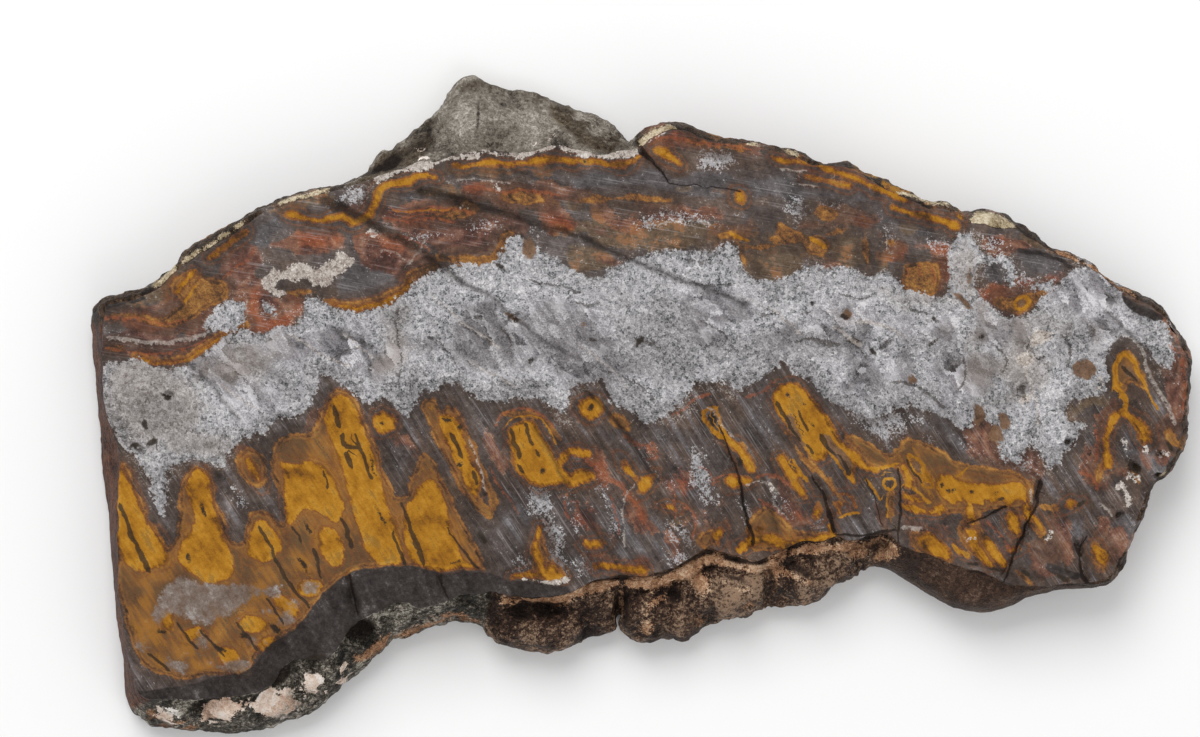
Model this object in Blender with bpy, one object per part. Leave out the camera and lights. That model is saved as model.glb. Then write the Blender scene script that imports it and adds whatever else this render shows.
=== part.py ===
"""A slab of tiger iron, sawn from a boulder and lying on its rear cut.

The slab is one piece of stone. Two parallel saw cuts make its flat front (top) and back (bottom), and
between them runs a flank of broken stone, crust and rind. The flank is worked out from stations round
the rim: each station says where the front cut ends and, outwards from there, where the stone reaches
furthest. The kind of stone at a station says how the flank falls from the one to the other. Clefts and
pits are cut into the front afterwards.

Lengths in the tables are millimetres, with x to the right, y away and z up, and z = 0 on the back cut.
Run it with: blender --background --python part.py
"""

import math
from dataclasses import dataclass

import bmesh
import bpy
import numpy as np

MM = 0.001

# Driving dimensions, in millimetres.
THICKNESS = 15.0  # from the back cut to the front cut
RIM_COLUMNS = 280  # points round the rim
UPPER_ROWS = 9  # rows of faces from the front cut down to the widest line
LOWER_ROWS = 4  # rows of faces from the widest line down to the back cut
GRAIN_CELL = 5.5  # size of the lumps that the grain of broken stone shows at this scale
FINE_GRAIN = (0.43, 0.5)  # the size and the height of the smaller lumps, as shares of the larger ones
HEART_DEPTH = 14.0  # how far inside the front cut's edge the undercut aims
LEAST_HEIGHT = 0.25  # the flank's grain stays this far above the back cut
LEAST_DROP = 0.15  # and this far below the front cut
CUTTER_RISE = 0.6  # how far a cutter stands above the front cut
CLEFT_TIP = 0.12  # where a cleft's sine-shaped taper starts, in radians

NODE_NAME = "tiger_iron_slab"
HASH_FACTORS = (73856093, 19349663, 83492791)  # large primes that scatter a lattice corner's x, y and z
HASH_SEED_FACTOR = 2654435761
HASH_MIX_FACTOR = 1274126177


@dataclass(frozen=True)
class Flank:
    """How the stone falls away from the front cut along one stretch of the rim.

    profile holds seven (outward share, downward share) pairs from the cut's edge to the widest line,
    waist is the height of that line, undercut is how far the back cut ends inside it, and grain is the
    height of the stone's roughness.
    """

    profile: tuple
    waist: float
    undercut: float
    grain: float


SAWN_END = Flank(
    ((0, 0), (0.15, 0.12), (0.30, 0.28), (0.48, 0.46), (0.66, 0.64), (0.84, 0.82), (1, 1)),
    waist=2.5, undercut=0.6, grain=0.25,
)
BROKEN_CREST = Flank(
    ((0, 0), (0.35, 0.10), (0.60, 0.25), (0.78, 0.42), (0.90, 0.60), (0.97, 0.80), (1, 1)),
    waist=8.0, undercut=3.0, grain=0.7,
)
MATRIX_PEAK = Flank(
    ((0, 0), (0.05, 0.12), (0.22, 0.27), (0.42, 0.44), (0.62, 0.62), (0.82, 0.80), (1, 1)),
    waist=4.5, undercut=2.0, grain=0.7,
)
SMOOTH_RIND = Flank(
    ((0, 0), (0.10, 0.04), (0.35, 0.13), (0.60, 0.29), (0.80, 0.48), (0.94, 0.72), (1, 1)),
    waist=5.0, undercut=2.2, grain=0.3,
)
LUMPY_SHELF = Flank(
    ((0, 0), (0.03, 0.24), (0.20, 0.28), (0.25, 0.40), (0.52, 0.46), (0.82, 0.68), (1, 1)),
    waist=5.0, undercut=1.6, grain=0.9,
)
CRYSTAL_CRUST = Flank(
    ((0, 0), (0.06, 0.13), (0.24, 0.26), (0.45, 0.37), (0.68, 0.54), (0.88, 0.76), (1, 1)),
    waist=4.0, undercut=1.2, grain=0.8,
)

# The rim, clockwise from the upper left corner as seen from above. Each station is the x and y of the
# front cut's edge, then the x and y of the stone's widest point outwards of it.
RIM = (
    (BROKEN_CREST, (
        (-106.5, 19.8, -109.4, 20.6), (-103.0, 20.6, -104.0, 22.1), (-99.5, 21.6, -100.3, 23.4),
        (-96.3, 23.4, -97.9, 24.6), (-93.0, 26.1, -94.7, 27.3), (-90.3, 28.4, -91.8, 30.0),
        (-86.4, 31.0, -88.0, 32.4), (-82.4, 33.4, -83.8, 34.9), (-78.5, 36.3, -79.9, 37.4),
        (-74.3, 38.7, -75.1, 40.1), (-68.0, 41.0, -68.4, 42.3), (-61.0, 42.8, -61.5, 44.1),
        (-55.0, 44.8, -55.6, 46.0),
    )),
    (MATRIX_PEAK, (
        (-51.5, 45.8, -53.9, 48.2), (-48.8, 46.8, -52.6, 50.2), (-46.3, 48.0, -49.4, 52.2),
        (-43.5, 48.6, -45.6, 55.4), (-41.0, 48.7, -41.9, 58.3), (-38.6, 49.5, -39.9, 60.6),
        (-36.2, 50.0, -37.7, 64.0), (-33.8, 50.4, -34.3, 65.9), (-31.0, 51.0, -30.8, 65.0),
        (-27.5, 50.6, -26.4, 63.8), (-24.5, 50.2, -22.7, 63.1), (-20.5, 51.1, -18.8, 61.4),
        (-16.0, 51.9, -13.8, 59.7), (-12.0, 50.9, -9.3, 58.6), (-8.5, 50.2, -5.9, 56.6),
        (-5.0, 50.6, -3.5, 54.4), (-2.2, 51.0, -2.2, 53.0),
    )),
    (BROKEN_CREST, (
        (0.2, 51.4, 0.2, 54.6), (2.6, 53.0, 3.4, 56.2), (5.2, 54.6, 6.2, 56.9), (8.2, 55.0, 9.2, 56.0),
        (12.5, 53.3, 12.9, 54.5), (17.5, 52.1, 17.8, 53.3), (23.0, 51.5, 23.3, 52.6),
        (28.0, 50.5, 28.4, 51.6), (32.0, 49.2, 32.5, 50.3), (36.0, 47.7, 36.3, 48.6),
        (41.0, 47.5, 41.5, 48.8), (45.0, 45.6, 45.5, 46.7), (49.7, 42.9, 50.3, 44.0),
        (53.5, 41.2, 54.2, 42.6), (57.0, 39.5, 57.4, 40.5), (60.5, 39.1, 60.9, 40.6),
        (63.7, 37.4, 64.3, 38.6), (67.0, 36.2, 67.3, 38.4), (70.6, 35.3, 71.0, 38.4),
        (74.2, 35.0, 74.8, 36.8), (78.2, 33.2, 78.8, 34.5), (82.3, 30.6, 82.9, 31.5),
        (86.5, 28.4, 87.1, 29.6), (90.8, 26.6, 91.5, 27.7), (95.0, 23.5, 95.7, 24.4),
        (99.5, 21.0, 100.2, 21.9), (104.2, 18.2, 105.1, 19.0), (105.9, 15.7, 106.8, 16.0),
        (108.0, 12.3, 109.2, 12.7), (109.4, 8.4, 110.8, 8.5), (109.3, 3.0, 110.5, 2.9),
        (108.6, -2.5, 109.8, -3.0), (107.8, -8.0, 109.0, -8.6), (105.2, -12.6, 106.3, -13.3),
        (101.9, -16.4, 102.8, -17.0), (100.0, -20.6, 100.9, -20.9), (98.0, -26.0, 98.8, -26.4),
        (96.2, -30.6, 97.2, -31.3), (93.2, -34.6, 93.9, -35.6),
    )),
    (SMOOTH_RIND, (
        (89.5, -35.6, 89.7, -36.8), (84.5, -35.8, 84.4, -37.2), (80.0, -36.2, 79.8, -38.5),
        (76.0, -36.2, 74.9, -40.3), (72.3, -35.0, 69.6, -41.4), (69.0, -33.5, 64.6, -41.0),
        (65.5, -32.8, 60.7, -39.8), (61.0, -31.2, 56.6, -37.1), (55.6, -29.2, 51.8, -34.0),
        (52.0, -27.6, 48.8, -32.8),
    )),
    (LUMPY_SHELF, (
        (49.4, -25.5, 45.8, -32.2), (46.2, -25.9, 43.0, -33.3), (42.8, -26.8, 41.5, -35.3),
        (39.4, -26.3, 39.6, -37.1), (36.4, -27.2, 35.6, -38.7), (32.4, -27.6, 31.0, -40.2),
        (28.5, -29.0, 27.0, -40.3), (25.0, -30.6, 24.3, -40.9), (21.5, -30.7, 22.2, -42.6),
        (17.2, -29.7, 17.6, -43.4), (13.4, -28.8, 13.9, -44.4), (9.8, -30.5, 9.4, -46.9),
        (6.8, -32.2, 5.0, -46.8), (3.8, -33.6, 0.9, -48.1), (0.5, -34.0, -1.9, -47.1),
        (-1.8, -34.0, -2.6, -44.1), (-3.8, -34.0, -4.0, -42.4), (-6.4, -34.2, -6.4, -44.9),
        (-9.5, -35.3, -10.0, -47.2), (-13.5, -37.2, -14.6, -49.0), (-18.5, -38.4, -19.8, -49.2),
        (-24.0, -38.3, -26.0, -48.0), (-28.5, -37.4, -30.4, -45.8),
    )),
    (CRYSTAL_CRUST, (
        (-32.0, -37.8, -33.6, -44.3), (-35.5, -38.1, -37.2, -43.4), (-39.0, -39.2, -40.6, -44.5),
        (-43.5, -40.6, -45.4, -46.4), (-48.0, -39.2, -50.6, -47.6), (-51.5, -41.0, -53.0, -49.9),
        (-55.0, -42.5, -56.1, -52.6), (-58.0, -44.6, -59.4, -55.6), (-60.4, -48.6, -62.1, -58.2),
        (-64.0, -50.8, -66.0, -61.2), (-68.0, -50.9, -70.6, -63.6), (-71.5, -52.2, -76.0, -65.1),
        (-74.0, -56.0, -82.0, -65.9), (-79.5, -57.8, -88.6, -66.2), (-87.0, -58.6, -95.0, -65.2),
        (-94.0, -58.8, -100.6, -63.2),
    )),
    (SAWN_END, (
        (-100.0, -57.6, -103.6, -60.2), (-102.3, -51.0, -104.6, -51.6), (-103.9, -40.5, -106.1, -41.0),
        (-104.4, -30.0, -106.9, -30.2), (-104.4, -20.0, -107.8, -20.2), (-104.1, -12.0, -108.8, -12.6),
        (-105.2, -6.0, -109.1, -6.2), (-107.0, 0.0, -109.8, 0.0), (-107.5, 6.0, -110.4, 6.2),
        (-107.5, 13.0, -110.8, 13.4),
    )),
)

# Rounded lumps and hollows of the flank: x, y, half width, half depth and height (negative for a hollow).
LUMPS = (
    (-20.0, -45.6, 10.0, 4.0, 2.2), (0.6, -43.0, 5.0, 5.5, 2.4), (8.5, -41.0, 5.5, 5.5, 1.4),
    (17.5, -37.8, 8.0, 5.5, 2.6), (33.5, -34.5, 6.5, 5.5, 2.2), (40.0, -32.5, 4.0, 4.5, 1.2),
    (-20.0, -41.3, 7.5, 2.0, -2.0), (-4.0, -40.0, 1.8, 5.0, -1.6), (7.2, -38.3, 1.8, 1.8, -1.8),
    (25.8, -36.5, 1.5, 4.5, -1.4), (21.5, -39.5, 3.0, 1.6, -1.2), (69.0, -38.5, 9.0, 4.5, 1.0),
    (-79.0, -61.0, 9.0, 2.4, 1.0), (-66.0, -55.6, 2.6, 2.2, 1.2), (-56.0, -45.6, 3.4, 2.6, -1.6),
    (-34.0, 57.5, 7.0, 6.0, 1.0), (-50.5, 48.2, 2.6, 2.0, -1.2), (70.5, 37.2, 4.5, 1.8, 0.8),
)

# Clefts in the front: their route in x and y, their width at the surface and their depth.
CLEFTS = {
    "saw_step_left": (((-61.6, 40.3), (-57.0, 38.0), (-52.0, 35.3), (-46.0, 32.0), (-39.4, 27.8)), 1.1, 0.8),
    "saw_step_long": (
        ((-44.5, 42.6), (-37.0, 41.2), (-30.0, 39.3), (-20.0, 36.5), (-9.0, 32.8), (0.0, 28.6), (11.0, 24.4)),
        0.9, 0.7,
    ),
    "crest_crack": (((0.6, 50.3), (3.0, 48.0), (5.6, 45.0)), 0.9, 1.6),
    "centre_groove": (((-8.0, 0.4), (-3.5, -4.8), (0.0, -9.4), (3.2, -13.4)), 1.2, 0.8),
    "flame_crack": (
        ((16.2, -5.2), (18.0, -10.4), (20.2, -16.6), (21.0, -21.6), (21.8, -25.4), (22.4, -29.0)), 0.8, 1.6,
    ),
    "shelf_crack": (((34.8, -15.0), (36.8, -17.8), (38.4, -21.4), (38.8, -25.4)), 1.1, 1.8),
    "fan_crack": (((65.4, -23.2), (68.6, -22.8), (70.8, -21.4), (73.8, -20.2)), 0.7, 1.2),
    "corner_crack": (((79.8, -15.6), (79.0, -19.4), (77.4, -24.4), (75.0, -29.8), (72.6, -34.2)), 1.0, 2.0),
    "tail_crack": (((89.0, -25.8), (88.2, -28.6), (88.4, -31.6), (89.8, -34.8)), 1.0, 1.6),
    "band_crack_wide": (((-58.4, -34.2), (-57.6, -38.4), (-56.8, -41.6)), 1.2, 1.8),
    "band_crack_thin": (((-40.2, -33.6), (-40.1, -36.4), (-39.0, -38.2)), 0.9, 1.4),
}

# Pits in the front: x, y, half width, half depth, lean in degrees and how deep they go.
PITS = (
    (-94.2, 2.0, 1.2, 0.8, 0, 1.3), (-96.6, -5.4, 1.0, 1.6, 20, 0.8), (-32.0, 17.6, 0.9, 0.6, 0, 0.9),
    (-24.8, 17.0, 1.6, 1.4, 30, 1.0), (41.0, 18.4, 1.7, 1.5, 0, 1.2), (36.0, 12.6, 2.4, 1.6, 10, 0.8),
    (48.7, 11.6, 0.8, 1.3, 15, 1.0), (76.6, 3.2, 1.1, 1.5, -20, 0.9), (77.6, 11.6, 0.7, 1.3, -10, 0.9),
    (85.9, -7.4, 1.1, 1.0, 0, 1.6), (98.8, -12.8, 1.1, 1.6, 25, 1.8), (104.0, -9.8, 0.9, 0.8, 0, 1.3),
    (103.6, -14.2, 0.8, 0.7, 0, 1.2), (96.0, -22.0, 1.0, 0.8, 20, 1.2), (24.0, -25.1, 0.9, 0.6, 0, 1.0),
)

STONE_COLOUR = (0.20, 0.15, 0.11, 1.0)
STONE_ROUGHNESS = 0.55


def clear_scene():
    """Removes whatever objects the file opened with."""
    for obj in list(bpy.data.objects):
        bpy.data.objects.remove(obj)


def stations():
    """The rim's tables as arrays: places, profiles, and each station's waist, undercut and grain."""
    rows = [(flank, point) for flank, points in RIM for point in points]
    places = np.array([point for _, point in rows], float)
    profiles = np.array([flank.profile for flank, _ in rows], float)
    traits = np.array([(flank.waist, flank.undercut, flank.grain) for flank, _ in rows], float)
    return places, profiles, traits


def round_spline(values, at):
    """A closed Catmull-Rom curve through values, read at the parameters at, counted in stations."""
    count = len(values)
    start = np.floor(at).astype(int)
    step = (at - start).reshape((-1,) + (1,) * (values.ndim - 1))
    before, first, second, after = (values[(start + k) % count] for k in (-1, 0, 1, 2))
    slope_in, slope_out = (second - before) / 2, (after - first) / 2
    return (
        first
        + slope_in * step
        + (3 * (second - first) - 2 * slope_in - slope_out) * step**2
        + (2 * (first - second) + slope_in + slope_out) * step**3
    )


def round_blend(values, at):
    """Straight blending between the stations' values, read at the parameters at."""
    start = np.floor(at).astype(int)
    step = (at - start).reshape((-1,) + (1,) * (values.ndim - 1))
    return values[start % len(values)] * (1 - step) + values[(start + 1) % len(values)] * step


def even_parameters(places, columns):
    """Station parameters that space the given number of columns evenly along the rim."""
    fine = np.linspace(0, len(places), 8 * columns + 1)
    line = round_spline(places, fine)
    middle = (line[:, :2] + line[:, 2:]) / 2
    lengths = np.concatenate([[0], np.cumsum(np.linalg.norm(np.diff(middle, axis=0), axis=1))])
    return np.interp(np.arange(columns) / columns * lengths[-1], lengths, fine)


def lattice_noise(points, cell, seed):
    """Smooth noise from -1 to 1: random values at the corners of cubic cells, blended in between."""
    scaled = points / cell
    corner = np.floor(scaled).astype(np.int64)
    share = scaled - corner
    share = share * share * (3 - 2 * share)
    total = np.zeros(len(points))
    for offset in np.ndindex(2, 2, 2):
        x, y, z = ((corner + offset) * HASH_FACTORS).T
        mixed = x ^ y ^ z ^ seed * HASH_SEED_FACTOR
        mixed = (mixed ^ (mixed >> 13)) * HASH_MIX_FACTOR
        value = ((mixed ^ (mixed >> 16)) & 0xFFFF) / 0x7FFF - 1
        total += value * np.prod(np.where(offset, share, 1 - share), axis=1)
    return total


def inward_of(line):
    """Unit vectors pointing into the slab from each point of a closed clockwise line."""
    along = np.roll(line, -3, axis=0) - np.roll(line, 3, axis=0)
    inward = np.stack([along[:, 1], -along[:, 0]], axis=1)
    return inward / np.linalg.norm(inward, axis=1, keepdims=True)


def flank_grid(columns, upper_rows, lower_rows):
    """The flank as rows of points, from the front cut's edge at the top to the back cut's edge.

    Returns:
        An array of rows x columns x 3, and each column's grain.
    """
    places, profiles, traits = stations()
    at = even_parameters(places, columns)
    line, profile = round_spline(places, at), round_blend(profiles, at)
    waist, undercut, grain = round_blend(traits, at).T
    edge, widest = line[:, :2], line[:, 2:]

    rows = []
    for position in np.linspace(0, profile.shape[1] - 1, upper_rows + 1):
        low = min(int(position), profile.shape[1] - 2)
        share = profile[:, low] + (profile[:, low + 1] - profile[:, low]) * (position - low)
        plan = edge + (widest - edge) * share[:, :1]
        rows.append(np.column_stack([plan, THICKNESS - (THICKNESS - waist) * share[:, 1]]))

    to_heart = edge + inward_of(edge) * HEART_DEPTH - widest
    to_heart /= np.linalg.norm(to_heart, axis=1, keepdims=True)
    for angle in np.linspace(0, math.pi / 2, lower_rows + 1)[1:]:
        plan = widest + to_heart * (undercut * (1 - math.cos(angle)))[:, None]
        rows.append(np.column_stack([plan, waist * (1 - math.sin(angle))]))
    return np.array(rows), grain


def outward_normals(grid):
    """Unit normals of the flank, by the cross product of its directions along and down the rim."""
    around = np.roll(grid, -1, axis=1) - np.roll(grid, 1, axis=1)
    down = np.gradient(grid, axis=0)
    normals = np.cross(around, down)
    return normals / np.maximum(np.linalg.norm(normals, axis=2, keepdims=True), 1e-9)


def roughened(grid, grain):
    """The flank with its lumps, hollows and grain raised along its normals, and both cuts left flat."""
    rows, columns, _ = grid.shape
    normals = outward_normals(grid)
    height = np.zeros((rows, columns))
    for x, y, half_width, half_depth, rise in LUMPS:
        off_centre = ((grid[..., 0] - x) / half_width) ** 2 + ((grid[..., 1] - y) / half_depth) ** 2
        height += rise * np.maximum(0, 1 - off_centre)
    points = grid.reshape(-1, 3)
    fine_size, fine_share = FINE_GRAIN
    noise = lattice_noise(points, GRAIN_CELL, seed=3)
    noise += fine_share * lattice_noise(points, GRAIN_CELL * fine_size, seed=7)
    height += grain * noise.reshape(rows, columns)
    from_cut = np.minimum(np.arange(rows) / 2, 1) * np.minimum((rows - 1 - np.arange(rows)) / 2, 1)
    moved = grid + normals * (height * from_cut[:, None])[..., None]
    moved[1:-1, :, 2] = np.clip(moved[1:-1, :, 2], LEAST_HEIGHT, THICKNESS - LEAST_DROP)
    return moved


def slab_mesh():
    """The stone as a closed mesh: the flank's rows of faces, closed by the two flat cuts."""
    grid = roughened(*flank_grid(RIM_COLUMNS, UPPER_ROWS, LOWER_ROWS))
    rows, columns, _ = grid.shape
    index = np.arange(rows * columns).reshape(rows, columns)
    right = np.roll(index, -1, axis=1)
    quads = np.stack([index[:-1], right[:-1], right[1:], index[1:]], axis=-1).reshape(-1, 4)
    faces = quads.tolist() + [index[0, ::-1].tolist(), index[-1].tolist()]
    mesh = bpy.data.meshes.new(NODE_NAME)
    mesh.from_pydata((grid.reshape(-1, 3) * MM).tolist(), [], faces)
    return mesh


def stone_material():
    """The stone's plain finish."""
    material = bpy.data.materials.new("tiger_iron")
    material.use_nodes = True
    shader = material.node_tree.nodes["Principled BSDF"]
    shader.inputs["Base Color"].default_value = STONE_COLOUR
    shader.inputs["Roughness"].default_value = STONE_ROUGHNESS
    shader.inputs["Metallic"].default_value = 0.0
    return material


def cutter(name, work):
    """A hidden object with the shape in the bmesh work, for the Boolean that opens the front."""
    bmesh.ops.recalc_face_normals(work, faces=work.faces)
    mesh = bpy.data.meshes.new(name)
    work.to_mesh(mesh)
    work.free()
    obj = bpy.data.objects.new(name, mesh)
    obj.hide_render = True
    obj.display_type = "WIRE"
    return obj


def cleft_cutter(name, route, width, depth):
    """A wedge along a route: three corners at each point, narrowing to nothing at both ends."""
    route = np.array(route, float)
    along = np.gradient(route, axis=0)
    side = np.stack([-along[:, 1], along[:, 0]], axis=1)
    side /= np.linalg.norm(side, axis=1, keepdims=True)
    narrowing = np.sqrt(np.sin(np.linspace(CLEFT_TIP, math.pi - CLEFT_TIP, len(route))))
    work = bmesh.new()
    rings = []
    for point, across, share in zip(route, side, narrowing):
        half = across * (width / 2 * share * (1 + CUTTER_RISE / depth))
        top, bottom = THICKNESS + CUTTER_RISE, THICKNESS - depth * share
        corners = (*(point + half), top), (*(point - half), top), (*point, bottom)
        rings.append([work.verts.new([c * MM for c in corner]) for corner in corners])
    for ring, following in zip(rings, rings[1:]):
        for k in range(3):
            work.faces.new((ring[k], ring[k - 1], following[k - 1], following[k]))
    work.faces.new(rings[0])
    work.faces.new(rings[-1])
    return cutter(name, work)


def pit_cutter(name, x, y, half_width, half_depth, lean, depth):
    """A faceted egg, sunk in the front cut by the pit's depth."""
    work = bmesh.new()
    bmesh.ops.create_icosphere(work, subdivisions=1, radius=1.0)
    scale = np.array([half_width, half_depth, depth]) * MM
    turn = math.radians(lean)
    for vert in work.verts:
        sx, sy, sz = (c * s for c, s in zip(vert.co, scale))
        vert.co = (
            x * MM + sx * math.cos(turn) - sy * math.sin(turn),
            y * MM + sx * math.sin(turn) + sy * math.cos(turn),
            THICKNESS * MM + sz,
        )
    return cutter(name, work)


def build():
    """Makes the slab and opens its clefts and pits."""
    clear_scene()
    scene = bpy.context.scene
    slab = bpy.data.objects.new(NODE_NAME, slab_mesh())
    slab.data.materials.append(stone_material())
    scene.collection.objects.link(slab)

    cutters = bpy.data.collections.new("cutters")
    scene.collection.children.link(cutters)
    for name, (route, width, depth) in CLEFTS.items():
        cutters.objects.link(cleft_cutter(name, route, width, depth))
    for number, pit in enumerate(PITS, 1):
        cutters.objects.link(pit_cutter(f"pit_{number:02d}", *pit))
    cutters.hide_render = True

    openings = slab.modifiers.new("clefts_and_pits", "BOOLEAN")
    openings.operation = "DIFFERENCE"
    openings.operand_type = "COLLECTION"
    openings.collection = cutters


build()
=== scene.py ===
"""The look of a tiger iron slab: a flat slab sawn from a boulder, lying on its back cut, face up.

The stone is one closed piece. A grid covers the polished front cut, rows of points go down the broken
flank all round it, and a coarser grid closes the back cut. Each band, flame, vein, crack and pit of the
stone is a mark drawn on the front in millimetres. A vertex learns how deep it lies inside the marks of
each kind, and the finish of that kind shows wherever the depth is above nothing, with an edge frayed by
noise. The flank takes the marks of the cut's edge above it, under a skin of rind, crust or matrix.

Lengths are millimetres in the tables and metres in the meshes. x runs along the slab, y across it
towards the peak, and z is up, with the back cut at nothing.
"""

import logging
import math
from dataclasses import dataclass
from enum import Enum

import bpy
import numpy as np
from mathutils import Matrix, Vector

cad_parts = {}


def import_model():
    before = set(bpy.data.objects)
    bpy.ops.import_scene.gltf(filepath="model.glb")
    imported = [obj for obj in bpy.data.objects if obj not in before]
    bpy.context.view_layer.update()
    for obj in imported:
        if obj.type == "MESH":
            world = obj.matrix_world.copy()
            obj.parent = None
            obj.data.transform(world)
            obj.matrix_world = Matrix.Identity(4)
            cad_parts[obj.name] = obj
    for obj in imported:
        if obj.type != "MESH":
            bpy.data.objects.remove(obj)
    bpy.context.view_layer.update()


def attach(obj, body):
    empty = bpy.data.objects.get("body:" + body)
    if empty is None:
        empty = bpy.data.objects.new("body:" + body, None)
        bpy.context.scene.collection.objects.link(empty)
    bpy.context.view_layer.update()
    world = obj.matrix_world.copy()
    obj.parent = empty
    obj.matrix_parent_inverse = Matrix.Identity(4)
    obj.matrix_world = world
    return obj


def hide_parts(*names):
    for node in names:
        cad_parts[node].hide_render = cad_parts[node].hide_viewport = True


log = logging.getLogger("tiger_iron")

MM = 0.001
NOISE_ROUGHNESS = 0.6  # how strong the finer octaves of the shader's noises are
NOISE_GAIN = 4.0  # brings those noises to about -1 to 1
FAR = 6.0  # mm: depths inside and outside a mark are counted no further than this
NODE = "tiger_iron_slab"
BODY = "root"

Array = np.ndarray
Colour = tuple[float, float, float]
Point = tuple[float, float]
Place = tuple[float, float, float]
Shade = tuple[int, int, int]
Settings = dict[str, object]
Inputs = dict[str | int, object]


def tone(red: float, green: float, blue: float) -> Colour:
    """A display colour of 0 to 255 as the linear colour that a shader takes.

    Args:
        red, green, blue: the three channels.

    Returns:
        Each channel over 255, to the power that undoes the display's gamma.
    """
    channels = (red, green, blue)
    return tuple(((c / 255 + 0.055) / 1.055) ** 2.4 if c > 10 else c / 255 / 12.92 for c in channels)


# ------------------------------------------------------------------------------------------ noise


def scatter(corner: Array, seed: int) -> Array:
    """A repeatable random number from 0 to 1 for each lattice corner.

    Args:
        corner: whole-number corners, n x 3.
        seed: picks one of many sets.

    Returns:
        The corner's three numbers multiplied by large primes, mixed bit by bit and cut to 16 bits.
    """
    x, y, z = (corner * (73856093, 19349663, 83492791)).T
    mixed = x ^ y ^ z ^ seed * 2654435761
    mixed = (mixed ^ (mixed >> 13)) * 1274126177
    return ((mixed ^ (mixed >> 16)) & 0xFFFF) / 0xFFFF


def value_noise(points: Array, cell: float, seed: int) -> Array:
    """Smooth noise from -1 to 1: the corners' random numbers, blended by a cubic in each cell."""
    scaled = points / cell
    corner = np.floor(scaled).astype(np.int64)
    share = scaled - corner
    share = share * share * (3 - 2 * share)
    total = np.zeros(len(points))
    for offset in np.ndindex(2, 2, 2):
        weight = np.prod(np.where(offset, share, 1 - share), axis=1)
        total += (2 * scatter(corner + offset, seed) - 1) * weight
    return total


def fractal_noise(points: Array, cell: float, seed: int, octaves: int = 3) -> Array:
    """Value noise added up over octaves, each of half the cell and half the height of the last."""
    total = np.zeros(len(points))
    for octave in range(octaves):
        total += value_noise(points, cell / 2**octave, seed + octave) / 2**octave
    return total


def cell_noise(points: Array, cell: float, seed: int) -> Array:
    """The distance from each point to the nearest of the seeds strewn one to a cell, in cells."""
    scaled = points / cell
    corner = np.floor(scaled).astype(np.int64)
    nearest = np.full(len(points), np.inf)
    for offset in np.ndindex(3, 3, 3):
        near = corner + np.array(offset) - 1
        strewn = near + np.stack([scatter(near, seed + axis) for axis in range(3)], axis=1)
        nearest = np.minimum(nearest, np.linalg.norm(scaled - strewn, axis=1))
    return nearest


def rounded(points: Array, closed: bool) -> Array:
    """A line with its corners cut twice: each stretch keeps its middle half, and ends are kept."""
    for _ in range(2):
        following = np.roll(points, -1, axis=0) if closed else points[1:]
        start = points if closed else points[:-1]
        cut = np.stack([0.75 * start + 0.25 * following, 0.25 * start + 0.75 * following], axis=1)
        cut = cut.reshape(-1, points.shape[1])
        points = cut if closed else np.concatenate([points[:1], cut[1:-1], points[-1:]])
    return points


@dataclass(frozen=True)
class Patch:
    """A closed outline. outline is its corners, in order."""

    outline: tuple[Point, ...]

    def box(self) -> tuple[Array, Array]:
        """The outline's lowest and highest corner."""
        return np.min(self.outline, axis=0), np.max(self.outline, axis=0)

    def depth(self, at: Array) -> Array:
        """How deep each point lies inside the outline, below nothing outside.

        Args:
            at: points, n x 2.

        Returns:
            The distance to the nearest edge, with the sign of a point that is inside where a ray along x
            crosses the outline an odd number of times.
        """
        line = rounded(np.array(self.outline, float), closed=True)
        nearest = np.full(len(at), np.inf)
        inside = np.zeros(len(at), bool)
        for first, second in zip(line, np.roll(line, -1, axis=0)):
            nearest = np.minimum(nearest, distance_to_stretch(at, first, second)[0])
            if first[1] != second[1]:
                crosses = (at[:, 1] < first[1]) != (at[:, 1] < second[1])
                at_x = first[0] + (at[:, 1] - first[1]) * (second[0] - first[0]) / (second[1] - first[1])
                inside ^= crosses & (at[:, 0] < at_x)
        return np.where(inside, nearest, -nearest)


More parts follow.
